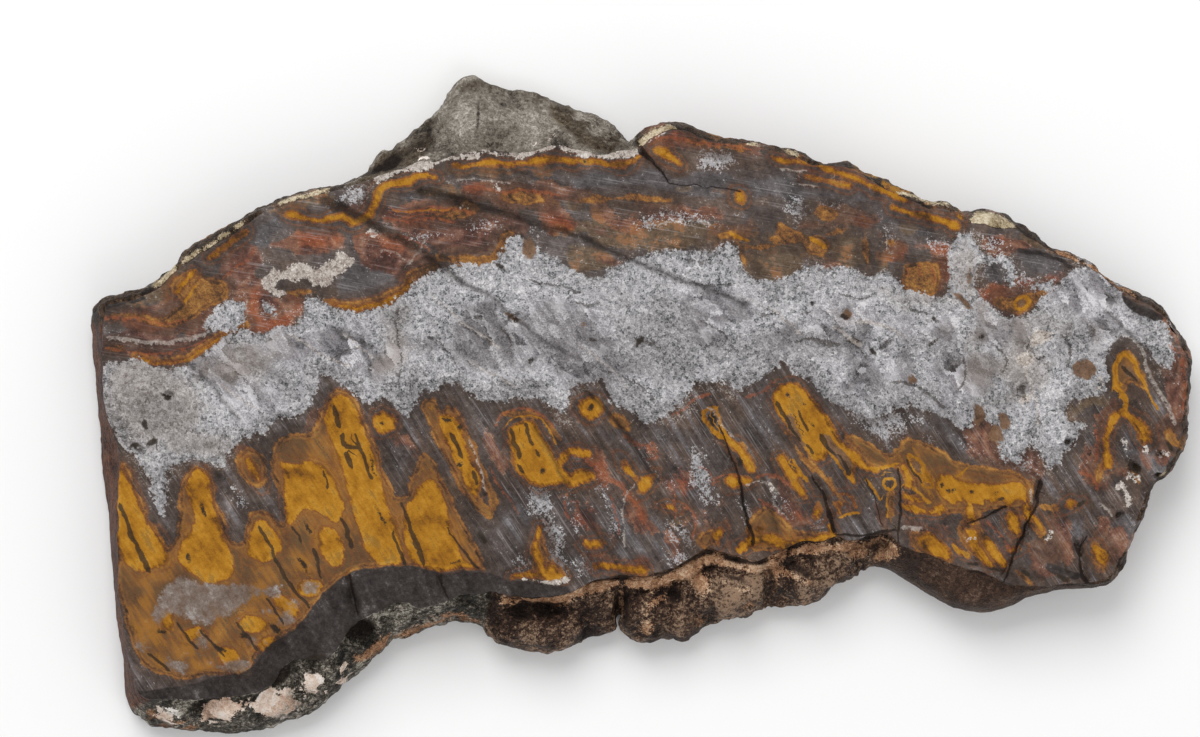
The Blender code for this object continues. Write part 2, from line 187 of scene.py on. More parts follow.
@dataclass(frozen=True)
class Stroke:
    """A line of some width. route is its points, and width one value, or those at its two ends."""

    route: tuple[Point, ...]
    width: float | tuple[float, float]

    def box(self) -> tuple[Array, Array]:
        """The line's lowest and highest corner, its width included."""
        half = np.max(self.width) / 2
        return np.min(self.route, axis=0) - half, np.max(self.route, axis=0) + half

    def curve(self) -> tuple[Array, Array]:
        """The line with its corners cut, and half its width at each of its points."""
        line = rounded(np.array(self.route, float), closed=False)
        return line, np.linspace(*np.broadcast_to(self.width, 2), len(line)) / 2

    def depth(self, at: Array) -> Array:
        """Half the width where a point is nearest, less the distance to there: how deep it lies inside."""
        line, halves = self.curve()
        deepest = np.full(len(at), -np.inf)
        for k in range(len(line) - 1):
            distance, share = distance_to_stretch(at, line[k], line[k + 1])
            deepest = np.maximum(deepest, halves[k] + share * (halves[k + 1] - halves[k]) - distance)
        return deepest

    def side_and_reach(self, at: Array) -> tuple[Array, Array]:
        """Two smooth numbers from which a shader can draw the line finer than the mesh.

        Args:
            at: points, n x 2.

        Returns:
            How far to the line's left each point lies, and how far from the line it would still be
            covered: half the width, less the way beyond an end, and nothing well off the line.
        """
        line, halves = self.curve()
        nearest, side, reach = np.full(len(at), np.inf), np.zeros(len(at)), np.full(len(at), -FAR)
        for k in range(len(line) - 1):
            along = line[k + 1] - line[k]
            length = max(float(np.hypot(*along)), 1e-6)
            off = at - line[k]
            place = off @ along / length
            distance, share = distance_to_stretch(at, line[k], line[k + 1])
            beyond = (place < 0) * -place * (k == 0) + np.maximum(place - length, 0) * (k == len(line) - 2)
            half = halves[k] + share * (halves[k + 1] - halves[k])
            half = half - beyond - 5 * np.maximum(distance - 1.3, 0)
            closer = distance < nearest
            nearest = np.where(closer, distance, nearest)
            side = np.where(closer, (along[0] * off[:, 1] - along[1] * off[:, 0]) / length, side)
            reach = np.where(closer, half, reach)
        return side, reach


@dataclass(frozen=True)
class Spot:
    """An ellipse: its centre, its two half widths, and its lean in degrees, leftwise from x."""

    x: float
    y: float
    half_length: float
    half_width: float
    lean: float = 0.0

    def box(self) -> tuple[Array, Array]:
        """A square round the ellipse."""
        reach = max(self.half_length, self.half_width)
        return np.array((self.x - reach, self.y - reach)), np.array((self.x + reach, self.y + reach))

    def depth(self, at: Array) -> Array:
        """One less the point's share of the way out to the ellipse, times the shorter half width."""
        turn = math.radians(self.lean)
        off_x, off_y = at[:, 0] - self.x, at[:, 1] - self.y
        along = (off_x * math.cos(turn) + off_y * math.sin(turn)) / self.half_length
        across = (off_y * math.cos(turn) - off_x * math.sin(turn)) / self.half_width
        return (1 - np.hypot(along, across)) * min(self.half_length, self.half_width)


Mark = Patch | Stroke | Spot


def distance_to_stretch(at: Array, first: Array, second: Array) -> tuple[Array, Array]:
    """The distance from each point to a straight stretch.

    Args:
        at: points, n x 2.
        first, second: the stretch's ends.

    Returns:
        The distances, and how far along the stretch the nearest place is, from 0 to 1.
    """
    along = second - first
    share = np.clip((at - first) @ along / max(along @ along, 1e-9), 0, 1)
    return np.linalg.norm(at - first - share[:, None] * along, axis=1), share


def deepest_of(marks: tuple[Mark, ...], at: Array) -> Array:
    """How deep each point lies inside the deepest of the marks, kept within FAR either way."""
    depth = np.full(len(at), -FAR)
    for mark in marks:
        low, high = mark.box()
        near = np.flatnonzero(np.all((at > low - FAR) & (at < high + FAR), axis=1))
        depth[near] = np.maximum(depth[near], mark.depth(at[near]))
    return np.minimum(depth, FAR)


def side_and_reach_of(strokes: tuple[Stroke, ...], at: Array) -> tuple[Array, Array]:
    """The side and reach of the stroke that comes nearest to covering each point."""
    side, reach = np.zeros(len(at)), np.full(len(at), -FAR)
    best = np.full(len(at), -np.inf)
    for stroke in strokes:
        low, high = stroke.box()
        near = np.flatnonzero(np.all((at > low - 2) & (at < high + 2), axis=1))
        own_side, own_reach = stroke.side_and_reach(at[near])
        cover = own_reach - np.abs(own_side)
        better = cover > best[near]
        chosen = near[better]
        side[chosen], reach[chosen], best[chosen] = own_side[better], own_reach[better], cover[better]
    return side, np.maximum(reach, -FAR)


# ------------------------------------------------------------------------------------ the stone's flank


class Skin(Enum):
    """What covers the flank along a stretch of the rim. The value names its attribute on the mesh."""

    SAWN = "sawn_side"
    CREST = "broken_crest"
    PEAK = "peak_matrix"
    RIND = "smooth_rind"
    SHELF = "lumpy_shelf"
    CRUST = "crystal_crust"


@dataclass(frozen=True)
class Flank:
    """How the stone falls away from the front cut along one stretch of the rim.

    profile holds seven (outward share, downward share) pairs from the cut's edge to the widest line, and
    waist is the height of that line. undercut is how far the back cut ends inside it. grain is the height
    of the stone's roughness, knobs that of its rounded knobs, and grit that of its finest grains.
    """

    skin: Skin
    profile: tuple[Point, ...]
    waist: float
    undercut: float
    grain: float
    knobs: float
    grit: float


SAWN_END = Flank(
    Skin.SAWN, ((0, 0), (0.15, 0.12), (0.30, 0.28), (0.48, 0.46), (0.66, 0.64), (0.84, 0.82), (1, 1)),
    waist=2.5, undercut=0.6, grain=0.25, knobs=0.05, grit=0.1,
)
BROKEN_CREST = Flank(
    Skin.CREST, ((0, 0), (0.35, 0.10), (0.60, 0.25), (0.78, 0.42), (0.90, 0.60), (0.97, 0.80), (1, 1)),
    waist=8.0, undercut=3.0, grain=0.75, knobs=0.3, grit=0.2,
)
MATRIX_PEAK = Flank(
    Skin.PEAK, ((0, 0), (0.05, 0.12), (0.22, 0.27), (0.42, 0.44), (0.62, 0.62), (0.82, 0.80), (1, 1)),
    waist=4.5, undercut=2.0, grain=0.7, knobs=0.15, grit=0.4,
)
SMOOTH_RIND = Flank(
    Skin.RIND, ((0, 0), (0.10, 0.04), (0.35, 0.13), (0.60, 0.29), (0.80, 0.48), (0.94, 0.72), (1, 1)),
    waist=5.0, undercut=2.2, grain=0.35, knobs=0.25, grit=0.08,
)
LUMPY_SHELF = Flank(
    Skin.SHELF, ((0, 0), (0.03, 0.24), (0.20, 0.28), (0.25, 0.40), (0.52, 0.46), (0.82, 0.68), (1, 1)),
    waist=5.0, undercut=1.6, grain=0.9, knobs=1.1, grit=0.2,
)
CRYSTAL_CRUST = Flank(
    Skin.CRUST, ((0, 0), (0.06, 0.13), (0.24, 0.26), (0.45, 0.37), (0.68, 0.54), (0.88, 0.76), (1, 1)),
    waist=4.0, undercut=1.2, grain=0.8, knobs=0.45, grit=0.3,
)

# The rim, clockwise from the upper left corner as seen from above. Each station is the x and y of the
# front cut's edge, then the x and y of the stone's widest point outwards of it.
RIM = (
    (BROKEN_CREST, (
        (-106.5, 19.8, -109.4, 20.6), (-103.0, 20.6, -104.0, 22.1), (-99.5, 21.6, -100.3, 23.4),
        (-96.3, 23.4, -97.9, 24.6), (-93.0, 26.1, -94.7, 27.3), (-90.3, 28.4, -91.8, 30.0),
        (-86.4, 31.0, -88.0, 32.4), (-82.4, 33.4, -83.8, 34.9), (-78.5, 36.3, -79.9, 37.4),
        (-74.3, 38.7, -75.1, 40.1), (-68.0, 41.0, -68.4, 42.3), (-61.0, 42.8, -61.5, 44.1),
        (-55.0, 44.8, -55.6, 46.0),
    )),
    (MATRIX_PEAK, (
        (-51.5, 45.8, -53.9, 48.2), (-48.8, 46.8, -52.6, 50.2), (-46.3, 48.0, -49.4, 52.2),
        (-43.5, 48.6, -45.6, 55.4), (-41.0, 48.7, -41.9, 58.3), (-38.6, 49.5, -39.9, 60.6),
        (-36.2, 50.0, -37.7, 64.0), (-33.8, 50.4, -34.3, 65.9), (-31.0, 51.0, -30.8, 65.0),
        (-27.5, 50.6, -26.4, 63.8), (-24.5, 50.2, -22.7, 63.1), (-20.5, 51.1, -18.8, 61.4),
        (-16.0, 51.9, -13.8, 59.7), (-12.0, 50.9, -9.3, 58.6), (-8.5, 50.2, -5.9, 56.6),
        (-5.0, 50.6, -3.5, 54.4), (-2.2, 51.0, -2.2, 53.0),
    )),
    (BROKEN_CREST, (
        (0.2, 51.4, 0.2, 54.6), (2.6, 53.0, 3.4, 56.2), (5.2, 54.6, 6.2, 56.9), (8.2, 55.0, 9.2, 56.0),
        (12.5, 53.3, 12.9, 54.5), (17.5, 52.1, 17.8, 53.3), (23.0, 51.5, 23.3, 52.6),
        (28.0, 50.5, 28.4, 51.6), (32.0, 49.2, 32.5, 50.3), (36.0, 47.7, 36.3, 48.6),
        (41.0, 47.5, 41.5, 48.8), (45.0, 45.6, 45.5, 46.7), (49.7, 42.9, 50.3, 44.0),
        (53.5, 41.2, 54.2, 42.6), (57.0, 39.5, 57.4, 40.5), (60.5, 39.1, 60.9, 40.6),
        (63.7, 37.4, 64.3, 38.6), (67.0, 36.2, 67.3, 38.4), (70.6, 35.3, 71.0, 38.4),
        (74.2, 35.0, 74.8, 36.8), (78.2, 33.2, 78.8, 34.5), (82.3, 30.6, 82.9, 31.5),
        (86.5, 28.4, 87.1, 29.6), (90.8, 26.6, 91.5, 27.7), (95.0, 23.5, 95.7, 24.4),
        (99.5, 21.0, 100.2, 21.9), (104.2, 18.2, 105.1, 19.0), (105.9, 15.7, 106.8, 16.0),
        (108.0, 12.3, 109.2, 12.7), (109.4, 8.4, 110.8, 8.5), (109.3, 3.0, 110.5, 2.9),
        (108.6, -2.5, 109.8, -3.0), (107.8, -8.0, 109.0, -8.6), (105.2, -12.6, 106.3, -13.3),
        (101.9, -16.4, 102.8, -17.0), (100.0, -20.6, 100.9, -20.9), (98.0, -26.0, 98.8, -26.4),
        (96.2, -30.6, 97.2, -31.3), (93.2, -34.6, 93.9, -35.6),
    )),
    (SMOOTH_RIND, (
        (89.5, -35.6, 89.7, -36.8), (84.5, -35.8, 84.4, -37.2), (80.0, -36.2, 79.8, -38.5),
        (76.0, -36.2, 74.9, -40.3), (72.3, -35.0, 69.6, -41.4), (69.0, -33.5, 64.6, -41.0),
        (65.5, -32.8, 60.7, -39.8), (61.0, -31.2, 56.6, -37.1), (55.6, -29.2, 51.8, -34.0),
        (52.0, -27.6, 48.8, -32.8),
    )),
    (LUMPY_SHELF, (
        (49.4, -25.5, 45.8, -32.2), (46.2, -25.9, 43.0, -33.3), (42.8, -26.8, 41.5, -35.3),
        (39.4, -26.3, 39.6, -37.1), (36.4, -27.2, 35.6, -38.7), (32.4, -27.6, 31.0, -40.2),
        (28.5, -29.0, 27.0, -40.3), (25.0, -30.6, 24.3, -40.9), (21.5, -30.7, 22.2, -42.6),
        (17.2, -29.7, 17.6, -43.4), (13.4, -28.8, 13.9, -44.4), (9.8, -30.5, 9.4, -46.9),
        (6.8, -32.2, 5.0, -46.8), (3.8, -33.6, 0.9, -48.1), (0.5, -34.0, -1.9, -47.1),
        (-1.8, -34.0, -2.6, -44.1), (-3.8, -34.0, -4.0, -42.4), (-6.4, -34.2, -6.4, -44.9),
        (-9.5, -35.3, -10.0, -47.2), (-13.5, -37.2, -14.6, -49.0), (-18.5, -38.4, -19.8, -49.2),
        (-24.0, -38.3, -26.0, -48.0), (-28.5, -37.4, -30.4, -45.8),
    )),
    (CRYSTAL_CRUST, (
        (-32.0, -37.8, -33.6, -44.3), (-35.5, -38.1, -37.2, -43.4), (-39.0, -39.2, -40.6, -44.5),
        (-43.5, -40.6, -45.4, -46.4), (-48.0, -39.2, -50.6, -47.6), (-51.5, -41.0, -53.0, -49.9),
        (-55.0, -42.5, -56.1, -52.6), (-58.0, -44.6, -59.4, -55.6), (-60.4, -48.6, -62.1, -58.2),
        (-64.0, -50.8, -66.0, -61.2), (-68.0, -50.9, -70.6, -63.6), (-71.5, -52.2, -76.0, -65.1),
        (-74.0, -56.0, -82.0, -65.9), (-79.5, -57.8, -88.6, -66.2), (-87.0, -58.6, -95.0, -65.2),
        (-94.0, -58.8, -100.6, -63.2),
    )),
    (SAWN_END, (
        (-100.0, -57.6, -103.6, -60.2), (-102.3, -51.0, -104.6, -51.6), (-103.9, -40.5, -106.1, -41.0),
        (-104.4, -30.0, -106.9, -30.2), (-104.4, -20.0, -107.8, -20.2), (-104.1, -12.0, -108.8, -12.6),
        (-105.2, -6.0, -109.1, -6.2), (-107.0, 0.0, -109.8, 0.0), (-107.5, 6.0, -110.4, 6.2),
        (-107.5, 13.0, -110.8, 13.4),
    )),
)

# Rounded lumps and hollows of the flank: x, y, half width, half depth and height (negative for a hollow).
LUMPS = (
    (-20.0, -45.6, 10.0, 4.0, 2.2), (0.6, -43.0, 5.0, 5.5, 2.4), (8.5, -41.0, 5.5, 5.5, 1.4),
    (17.5, -37.8, 8.0, 5.5, 2.6), (33.5, -34.5, 6.5, 5.5, 2.2), (40.0, -32.5, 4.0, 4.5, 1.2),
    (-20.0, -41.3, 7.5, 2.0, -2.0), (-4.0, -40.0, 1.8, 5.0, -1.6), (7.2, -38.3, 1.8, 1.8, -1.8),
    (25.8, -36.5, 1.5, 4.5, -1.4), (21.5, -39.5, 3.0, 1.6, -1.2), (69.0, -38.5, 9.0, 4.5, 1.0),
    (-79.0, -61.0, 9.0, 2.4, 1.0), (-66.0, -55.6, 2.6, 2.2, 1.2), (-56.0, -45.6, 3.4, 2.6, -1.6),
    (-34.0, 57.5, 7.0, 6.0, 1.0), (-50.5, 48.2, 2.6, 2.0, -1.2), (70.5, 37.2, 4.5, 1.8, 0.8),
)

# Clefts in the front: their route, their width at the surface and their depth.
CLEFTS = {
    "saw_step_left": (((-61.6, 40.3), (-57.0, 38.0), (-52.0, 35.3), (-46.0, 32.0), (-39.4, 27.8)), 1.1, 0.8),
    "saw_step_long": (
        ((-44.5, 42.6), (-37.0, 41.2), (-30.0, 39.3), (-20.0, 36.5), (-9.0, 32.8), (0.0, 28.6), (11.0, 24.4)),
        0.9, 0.7,
    ),
    "crest_crack": (((0.6, 50.3), (3.0, 48.0), (5.6, 45.0)), 0.9, 1.6),
    "centre_groove": (((-8.0, 0.4), (-3.5, -4.8), (0.0, -9.4), (3.2, -13.4)), 1.2, 0.8),
    "flame_crack": (
        ((16.2, -5.2), (18.0, -10.4), (20.2, -16.6), (21.0, -21.6), (21.8, -25.4), (22.4, -29.0)), 0.8, 1.6,
    ),
    "shelf_crack": (((34.8, -15.0), (36.8, -17.8), (38.4, -21.4), (38.8, -25.4)), 1.1, 1.8),
    "fan_crack": (((65.4, -23.2), (68.6, -22.8), (70.8, -21.4), (73.8, -20.2)), 0.7, 1.2),
    "corner_crack": (((79.8, -15.6), (79.0, -19.4), (77.4, -24.4), (75.0, -29.8), (72.6, -34.2)), 1.0, 2.0),
    "tail_crack": (((89.0, -25.8), (88.2, -28.6), (88.4, -31.6), (89.8, -34.8)), 1.0, 1.6),
    "band_crack_wide": (((-58.4, -34.2), (-57.6, -38.4), (-56.8, -41.6)), 1.2, 1.8),
    "band_crack_thin": (((-40.2, -33.6), (-40.1, -36.4), (-39.0, -38.2)), 0.9, 1.4),
}

# Pits in the front: x, y, half width, half depth, lean in degrees and how deep they go.
PITS = (
    (-94.2, 2.0, 1.2, 0.8, 0, 1.3), (-96.6, -5.4, 1.0, 1.6, 20, 0.8), (-32.0, 17.6, 0.9, 0.6, 0, 0.9),
    (-24.8, 17.0, 1.6, 1.4, 30, 1.0), (41.0, 18.4, 1.7, 1.5, 0, 1.2), (36.0, 12.6, 2.4, 1.6, 10, 0.8),
    (48.7, 11.6, 0.8, 1.3, 15, 1.0), (76.6, 3.2, 1.1, 1.5, -20, 0.9), (77.6, 11.6, 0.7, 1.3, -10, 0.9),
    (85.9, -7.4, 1.1, 1.0, 0, 1.6), (98.8, -12.8, 1.1, 1.6, 25, 1.8), (104.0, -9.8, 0.9, 0.8, 0, 1.3),
    (103.6, -14.2, 0.8, 0.7, 0, 1.2), (96.0, -22.0, 1.0, 0.8, 20, 1.2), (24.0, -25.1, 0.9, 0.6, 0, 1.0),
)

# The rim's corners clockwise after the first station: where the front's border turns to its next side.
CORNERS = ((105.9, 15.7), (93.2, -34.6), (-100.0, -57.6))


def round_spline(values: Array, at: Array) -> Array:
    """A closed Catmull-Rom curve through values, read at the parameters at, counted in stations."""
    count = len(values)
    start = np.floor(at).astype(int)
    step = (at - start)[:, None]
    before, first, second, after = (values[(start + k) % count] for k in (-1, 0, 1, 2))
    slope_in, slope_out = (second - before) / 2, (after - first) / 2
    return (
        first
        + slope_in * step
        + (3 * (second - first) - 2 * slope_in - slope_out) * step**2
        + (2 * (first - second) + slope_in + slope_out) * step**3
    )


def round_blend(values: Array, at: Array) -> Array:
    """Straight blending between the stations' values, read at the parameters at."""
    start = np.floor(at).astype(int)
    step = (at - start).reshape((-1,) + (1,) * (values.ndim - 1))
    return values[start % len(values)] * (1 - step) + values[(start + 1) % len(values)] * step


def inward_of(line: Array) -> Array:
    """Unit vectors that point into the slab from each point of a closed clockwise line."""
    along = np.roll(line, -3, axis=0) - np.roll(line, 3, axis=0)
    inward = np.stack([along[:, 1], -along[:, 0]], axis=1)
    return inward / np.linalg.norm(inward, axis=1, keepdims=True)


def filled(ring: Array, across: int, down: int) -> Array:
    """A grid of points that fills a closed ring, each between the four sides (a Coons patch).

    Args:
        ring: points clockwise from the upper left corner, 2 x (across + down) of them.
        across, down: how many cells lie along the top and along the right side.

    Returns:
        A grid of down + 1 rows and across + 1 columns. Each point is the blend of top and bottom, plus
        the blend of left and right, less the blend of the four corners.
    """
    turns = [across, across + down, 2 * across + down]
    top, right, bottom, left = np.split(np.concatenate([ring, ring[:1]]), turns)
    top, bottom = np.concatenate([top, right[:1]]), np.concatenate([bottom, left[:1]])[::-1]
    right, left = np.concatenate([right, bottom[-1:]]), left[::-1]
    u = np.linspace(0, 1, across + 1)[None, :, None]
    v = np.linspace(0, 1, down + 1)[:, None, None]
    between_ends = (1 - v) * top[None] + v * bottom[None]
    between_sides = (1 - u) * left[:, None] + u * right[:, None]
    corners = (1 - v) * ((1 - u) * top[0] + u * top[-1]) + v * ((1 - u) * bottom[0] + u * bottom[-1])
    return between_ends + between_sides - corners


def grid_quads(index: Array) -> Array:
    """The quads of a grid of vertex numbers, four corners each, facing up when rows run down."""
    corners = index[:-1, :-1], index[1:, :-1], index[1:, 1:], index[:-1, 1:]
    return np.stack(corners, axis=-1).reshape(-1, 4)


@dataclass
class Slab:
    """The stone as one closed mesh.

    across and down are the cells of the front's grid, upper_rows and lower_rows the flank's rows above
    and below its widest line, and coarseness how many of the front's cells one cell of the back spans.
    """

    thickness: float = 15.0
    across: int = 400
    down: int = 152
    upper_rows: int = 20
    lower_rows: int = 6
    coarseness: int = 4
    heart_depth: float = 14.0
    edge_chips: tuple[tuple[float, float], ...] = ((3.4, 0.3), (1.3, 0.16))
    back_margin: float = 3.0
    least_height: float = 0.25
    least_drop: float = 0.15
    sharp_angle: float = 40.0
    cleft_width: float = 1.7
    cleft_depth: float = 0.5

    def stations(self) -> tuple[Array, Array, Array, Array]:
        """The rim's tables as arrays.

        Returns:
            Places, profiles, traits (waist, undercut, grain, knobs, grit) and a share for each skin.
        """
        rows = [(flank, point) for flank, points in RIM for point in points]
        places = np.array([point for _, point in rows], float)
        profiles = np.array([flank.profile for flank, _ in rows], float)
        traits = np.array([(f.waist, f.undercut, f.grain, f.knobs, f.grit) for f, _ in rows])
        skins = np.array([[flank.skin is skin for skin in Skin] for flank, _ in rows], float)
        return places, profiles, traits, skins

    def rim_parameters(self, places: Array) -> Array:
        """Station parameters round the rim, evenly spaced by length between each two corners.

        Args:
            places: the stations' edge and widest points.

        Returns:
            One parameter for each point of the front grid's border, clockwise from its upper left.
        """
        corners = [0, *(int(np.argmin(np.hypot(*(places[:, :2] - c).T))) for c in CORNERS), len(places)]
        parts = []
        for first, last, count in zip(corners, corners[1:], (self.across, self.down, self.across, self.down)):
            fine = np.linspace(first, last, 12 * count + 1)
            line = round_spline(places, fine)
            middle = (line[:, :2] + line[:, 2:]) / 2
            lengths = np.concatenate([[0], np.cumsum(np.linalg.norm(np.diff(middle, axis=0), axis=1))])
            parts.append(np.interp(np.arange(count) / count * lengths[-1], lengths, fine))
        return np.concatenate(parts)

    def flank_rows(self, at: Array) -> tuple[Array, Array, Array]:
        """The flank before it is roughened, from the cut's edge down to the back cut's edge.

        Args:
            at: the rim's parameters.

        Returns:
            The points, rows x columns x 3; each column's traits; and each column's share of every skin.
            Above the waist a point goes outwards and down by its column's profile, and below it the
            flank closes in along a quarter ellipse.
        """
        places, profiles, traits, skins = self.stations()
        line, profile = round_spline(places, at), round_blend(profiles, at)
        traits, skins = round_blend(traits, at), round_blend(skins, at)
        edge, widest = line[:, :2], line[:, 2:]
        chips = sum(
            height * fractal_noise(np.column_stack([edge, np.full(len(edge), 40.0 * k)]), cell, 60 + k)
            for k, (cell, height) in enumerate(self.edge_chips)
        )
        edge = edge + inward_of(edge) * chips[:, None]
        waist, undercut = traits[:, 0], traits[:, 1]
        rows = []
        for position in np.linspace(0, profile.shape[1] - 1, self.upper_rows + 1):
            low = min(int(position), profile.shape[1] - 2)
            share = profile[:, low] + (profile[:, low + 1] - profile[:, low]) * (position - low)
            plan = edge + (widest - edge) * share[:, :1]
            rows.append(np.column_stack([plan, self.thickness - (self.thickness - waist) * share[:, 1]]))
        to_heart = edge + inward_of(edge) * self.heart_depth - widest
        to_heart /= np.linalg.norm(to_heart, axis=1, keepdims=True)
        for angle in np.linspace(0, math.pi / 2, self.lower_rows + 1)[1:]:
            plan = widest + to_heart * (undercut * (1 - math.cos(angle)))[:, None]
            rows.append(np.column_stack([plan, waist * (1 - math.sin(angle))]))
        return np.array(rows), traits, skins

    def flank_rise(self, rows: Array, traits: Array) -> Array:
        """How far the stone stands out from the flank's even shape.

        Args:
            rows: the flank's points.
            traits: each column's traits.

        Returns:
            The height along the normal: the lumps' domes, the grain's noise, knobs that are round where
            they are near the middle of a cell, and grit at two finer sizes.
        """
        points = rows.reshape(-1, 3)
        grain, knobs, grit = (np.broadcast_to(trait, rows.shape[:2]).ravel() for trait in traits.T[2:])
        rise = np.zeros(len(points))
        for x, y, half_width, half_depth, height in LUMPS:
            off_centre = ((points[:, 0] - x) / half_width) ** 2 + ((points[:, 1] - y) / half_depth) ** 2
            rise += height * np.maximum(0, 1 - off_centre)
        rise += grain * fractal_noise(points, 5.5, 3, octaves=4)
        for cell, share in ((3.6, 1.0), (1.7, 0.45)):
            rise += knobs * share * (0.45 - np.minimum(cell_noise(points, cell, 20), 1) ** 2)
        rise += grit * (fractal_noise(points, 1.2, 31, octaves=2) + 0.3)
        return rise.reshape(rows.shape[:2])

    def roughened(self, rows: Array, rise: Array) -> Array:
        """The flank moved out along its normals by rise, with both cuts' edges kept where they are."""
        around = np.roll(rows, -1, axis=1) - np.roll(rows, 1, axis=1)
        normals = np.cross(around, np.gradient(rows, axis=0))
        normals /= np.maximum(np.linalg.norm(normals, axis=2, keepdims=True), 1e-9)
        number = np.arange(len(rows))
        from_cut = np.minimum(np.minimum(number / 3, 1), (len(rows) - 1 - number) / 3)
        moved = rows + normals * (rise * from_cut[:, None])[..., None]
        moved[1:-1, :, 2] = np.clip(moved[1:-1, :, 2], self.least_height, self.thickness - self.least_drop)
        return moved

    def front_relief(self, at: Array) -> Array:
        """How deep the front lies below its cut: clefts as grooves of wedge section, pits as eggs.

        Args:
            at: points of the front, n x 2.

        Returns:
            The depth at each point.
        """
        depth = np.zeros(len(at))
        for route, width, deepest in CLEFTS.values():
            wide = width * self.cleft_width
            taper = np.clip(Stroke(route, wide).depth(at) / (wide / 2), 0, 1)
            depth = np.maximum(depth, self.cleft_depth * deepest * taper**2 * (3 - 2 * taper))
        for x, y, half_width, half_depth, lean, deepest in PITS:
            pit = Spot(x, y, half_width, half_depth, lean).depth(at) / min(half_width, half_depth)
            depth = np.maximum(depth, deepest * np.sqrt(1 - np.clip(1 - pit, 0, 1) ** 2))
        return depth

    def build(self) -> "Stone":
        """Works out every point of the stone and joins them.

        Returns:
            The stone's points and faces, with what the layers need to know of each point.
        """
        at = self.rim_parameters(self.stations()[0])
        rows, traits, skins = self.flank_rows(at)
        rise = self.flank_rise(rows, traits)
        rows = self.roughened(rows, rise)
        front = filled(rows[0], self.across, self.down)
        low_ring = rows[-1, :: self.coarseness].copy()
        low_ring[:, :2] += inward_of(low_ring[:, :2]) * self.back_margin
        back = filled(low_ring, self.across // self.coarseness, self.down // self.coarseness)

        size = front.shape[0] * front.shape[1]
        index = np.arange(size).reshape(front.shape[:2])
        border = ring_of(index)
        columns = len(border)
        flank_index = size + np.arange((len(rows) - 1) * columns).reshape(-1, columns)
        flank_index = np.concatenate([border[None], flank_index])
        closed = np.concatenate([flank_index, flank_index[:, :1]], axis=1)
        back_count = back.shape[0] * back.shape[1]
        back_index = flank_index[-1, -1] + 1 + np.arange(back_count).reshape(back.shape[:2])
        inner = ring_of(back_index)
        inner = np.concatenate([inner, inner[:1]])
        step = self.coarseness
        outer = np.stack([closed[-1, k : columns - step + k + 1 : step] for k in range(step + 1)], axis=1)
        seam = np.concatenate([outer, inner[1:, None], inner[:-1, None]], axis=1)
        faces = [grid_quads(index), grid_quads(closed)[:, ::-1], grid_quads(back_index)[:, ::-1], seam]
        front[..., 2] -= self.front_relief(front[..., :2].reshape(-1, 2)).reshape(front.shape[:2])
        points = np.concatenate([p.reshape(-1, 3) for p in (front, rows[1:], back)])
        return Stone(self, points, faces, rows, rise, skins, size, back_count)


def ring_of(index: Array) -> Array:
    """The border of a grid of numbers, clockwise from its upper left."""
    return np.concatenate([index[0, :-1], index[:-1, -1], index[-1, :0:-1], index[:0:-1, 0]])


# -------------------------------------------------------------------- the bands and marks of the cut

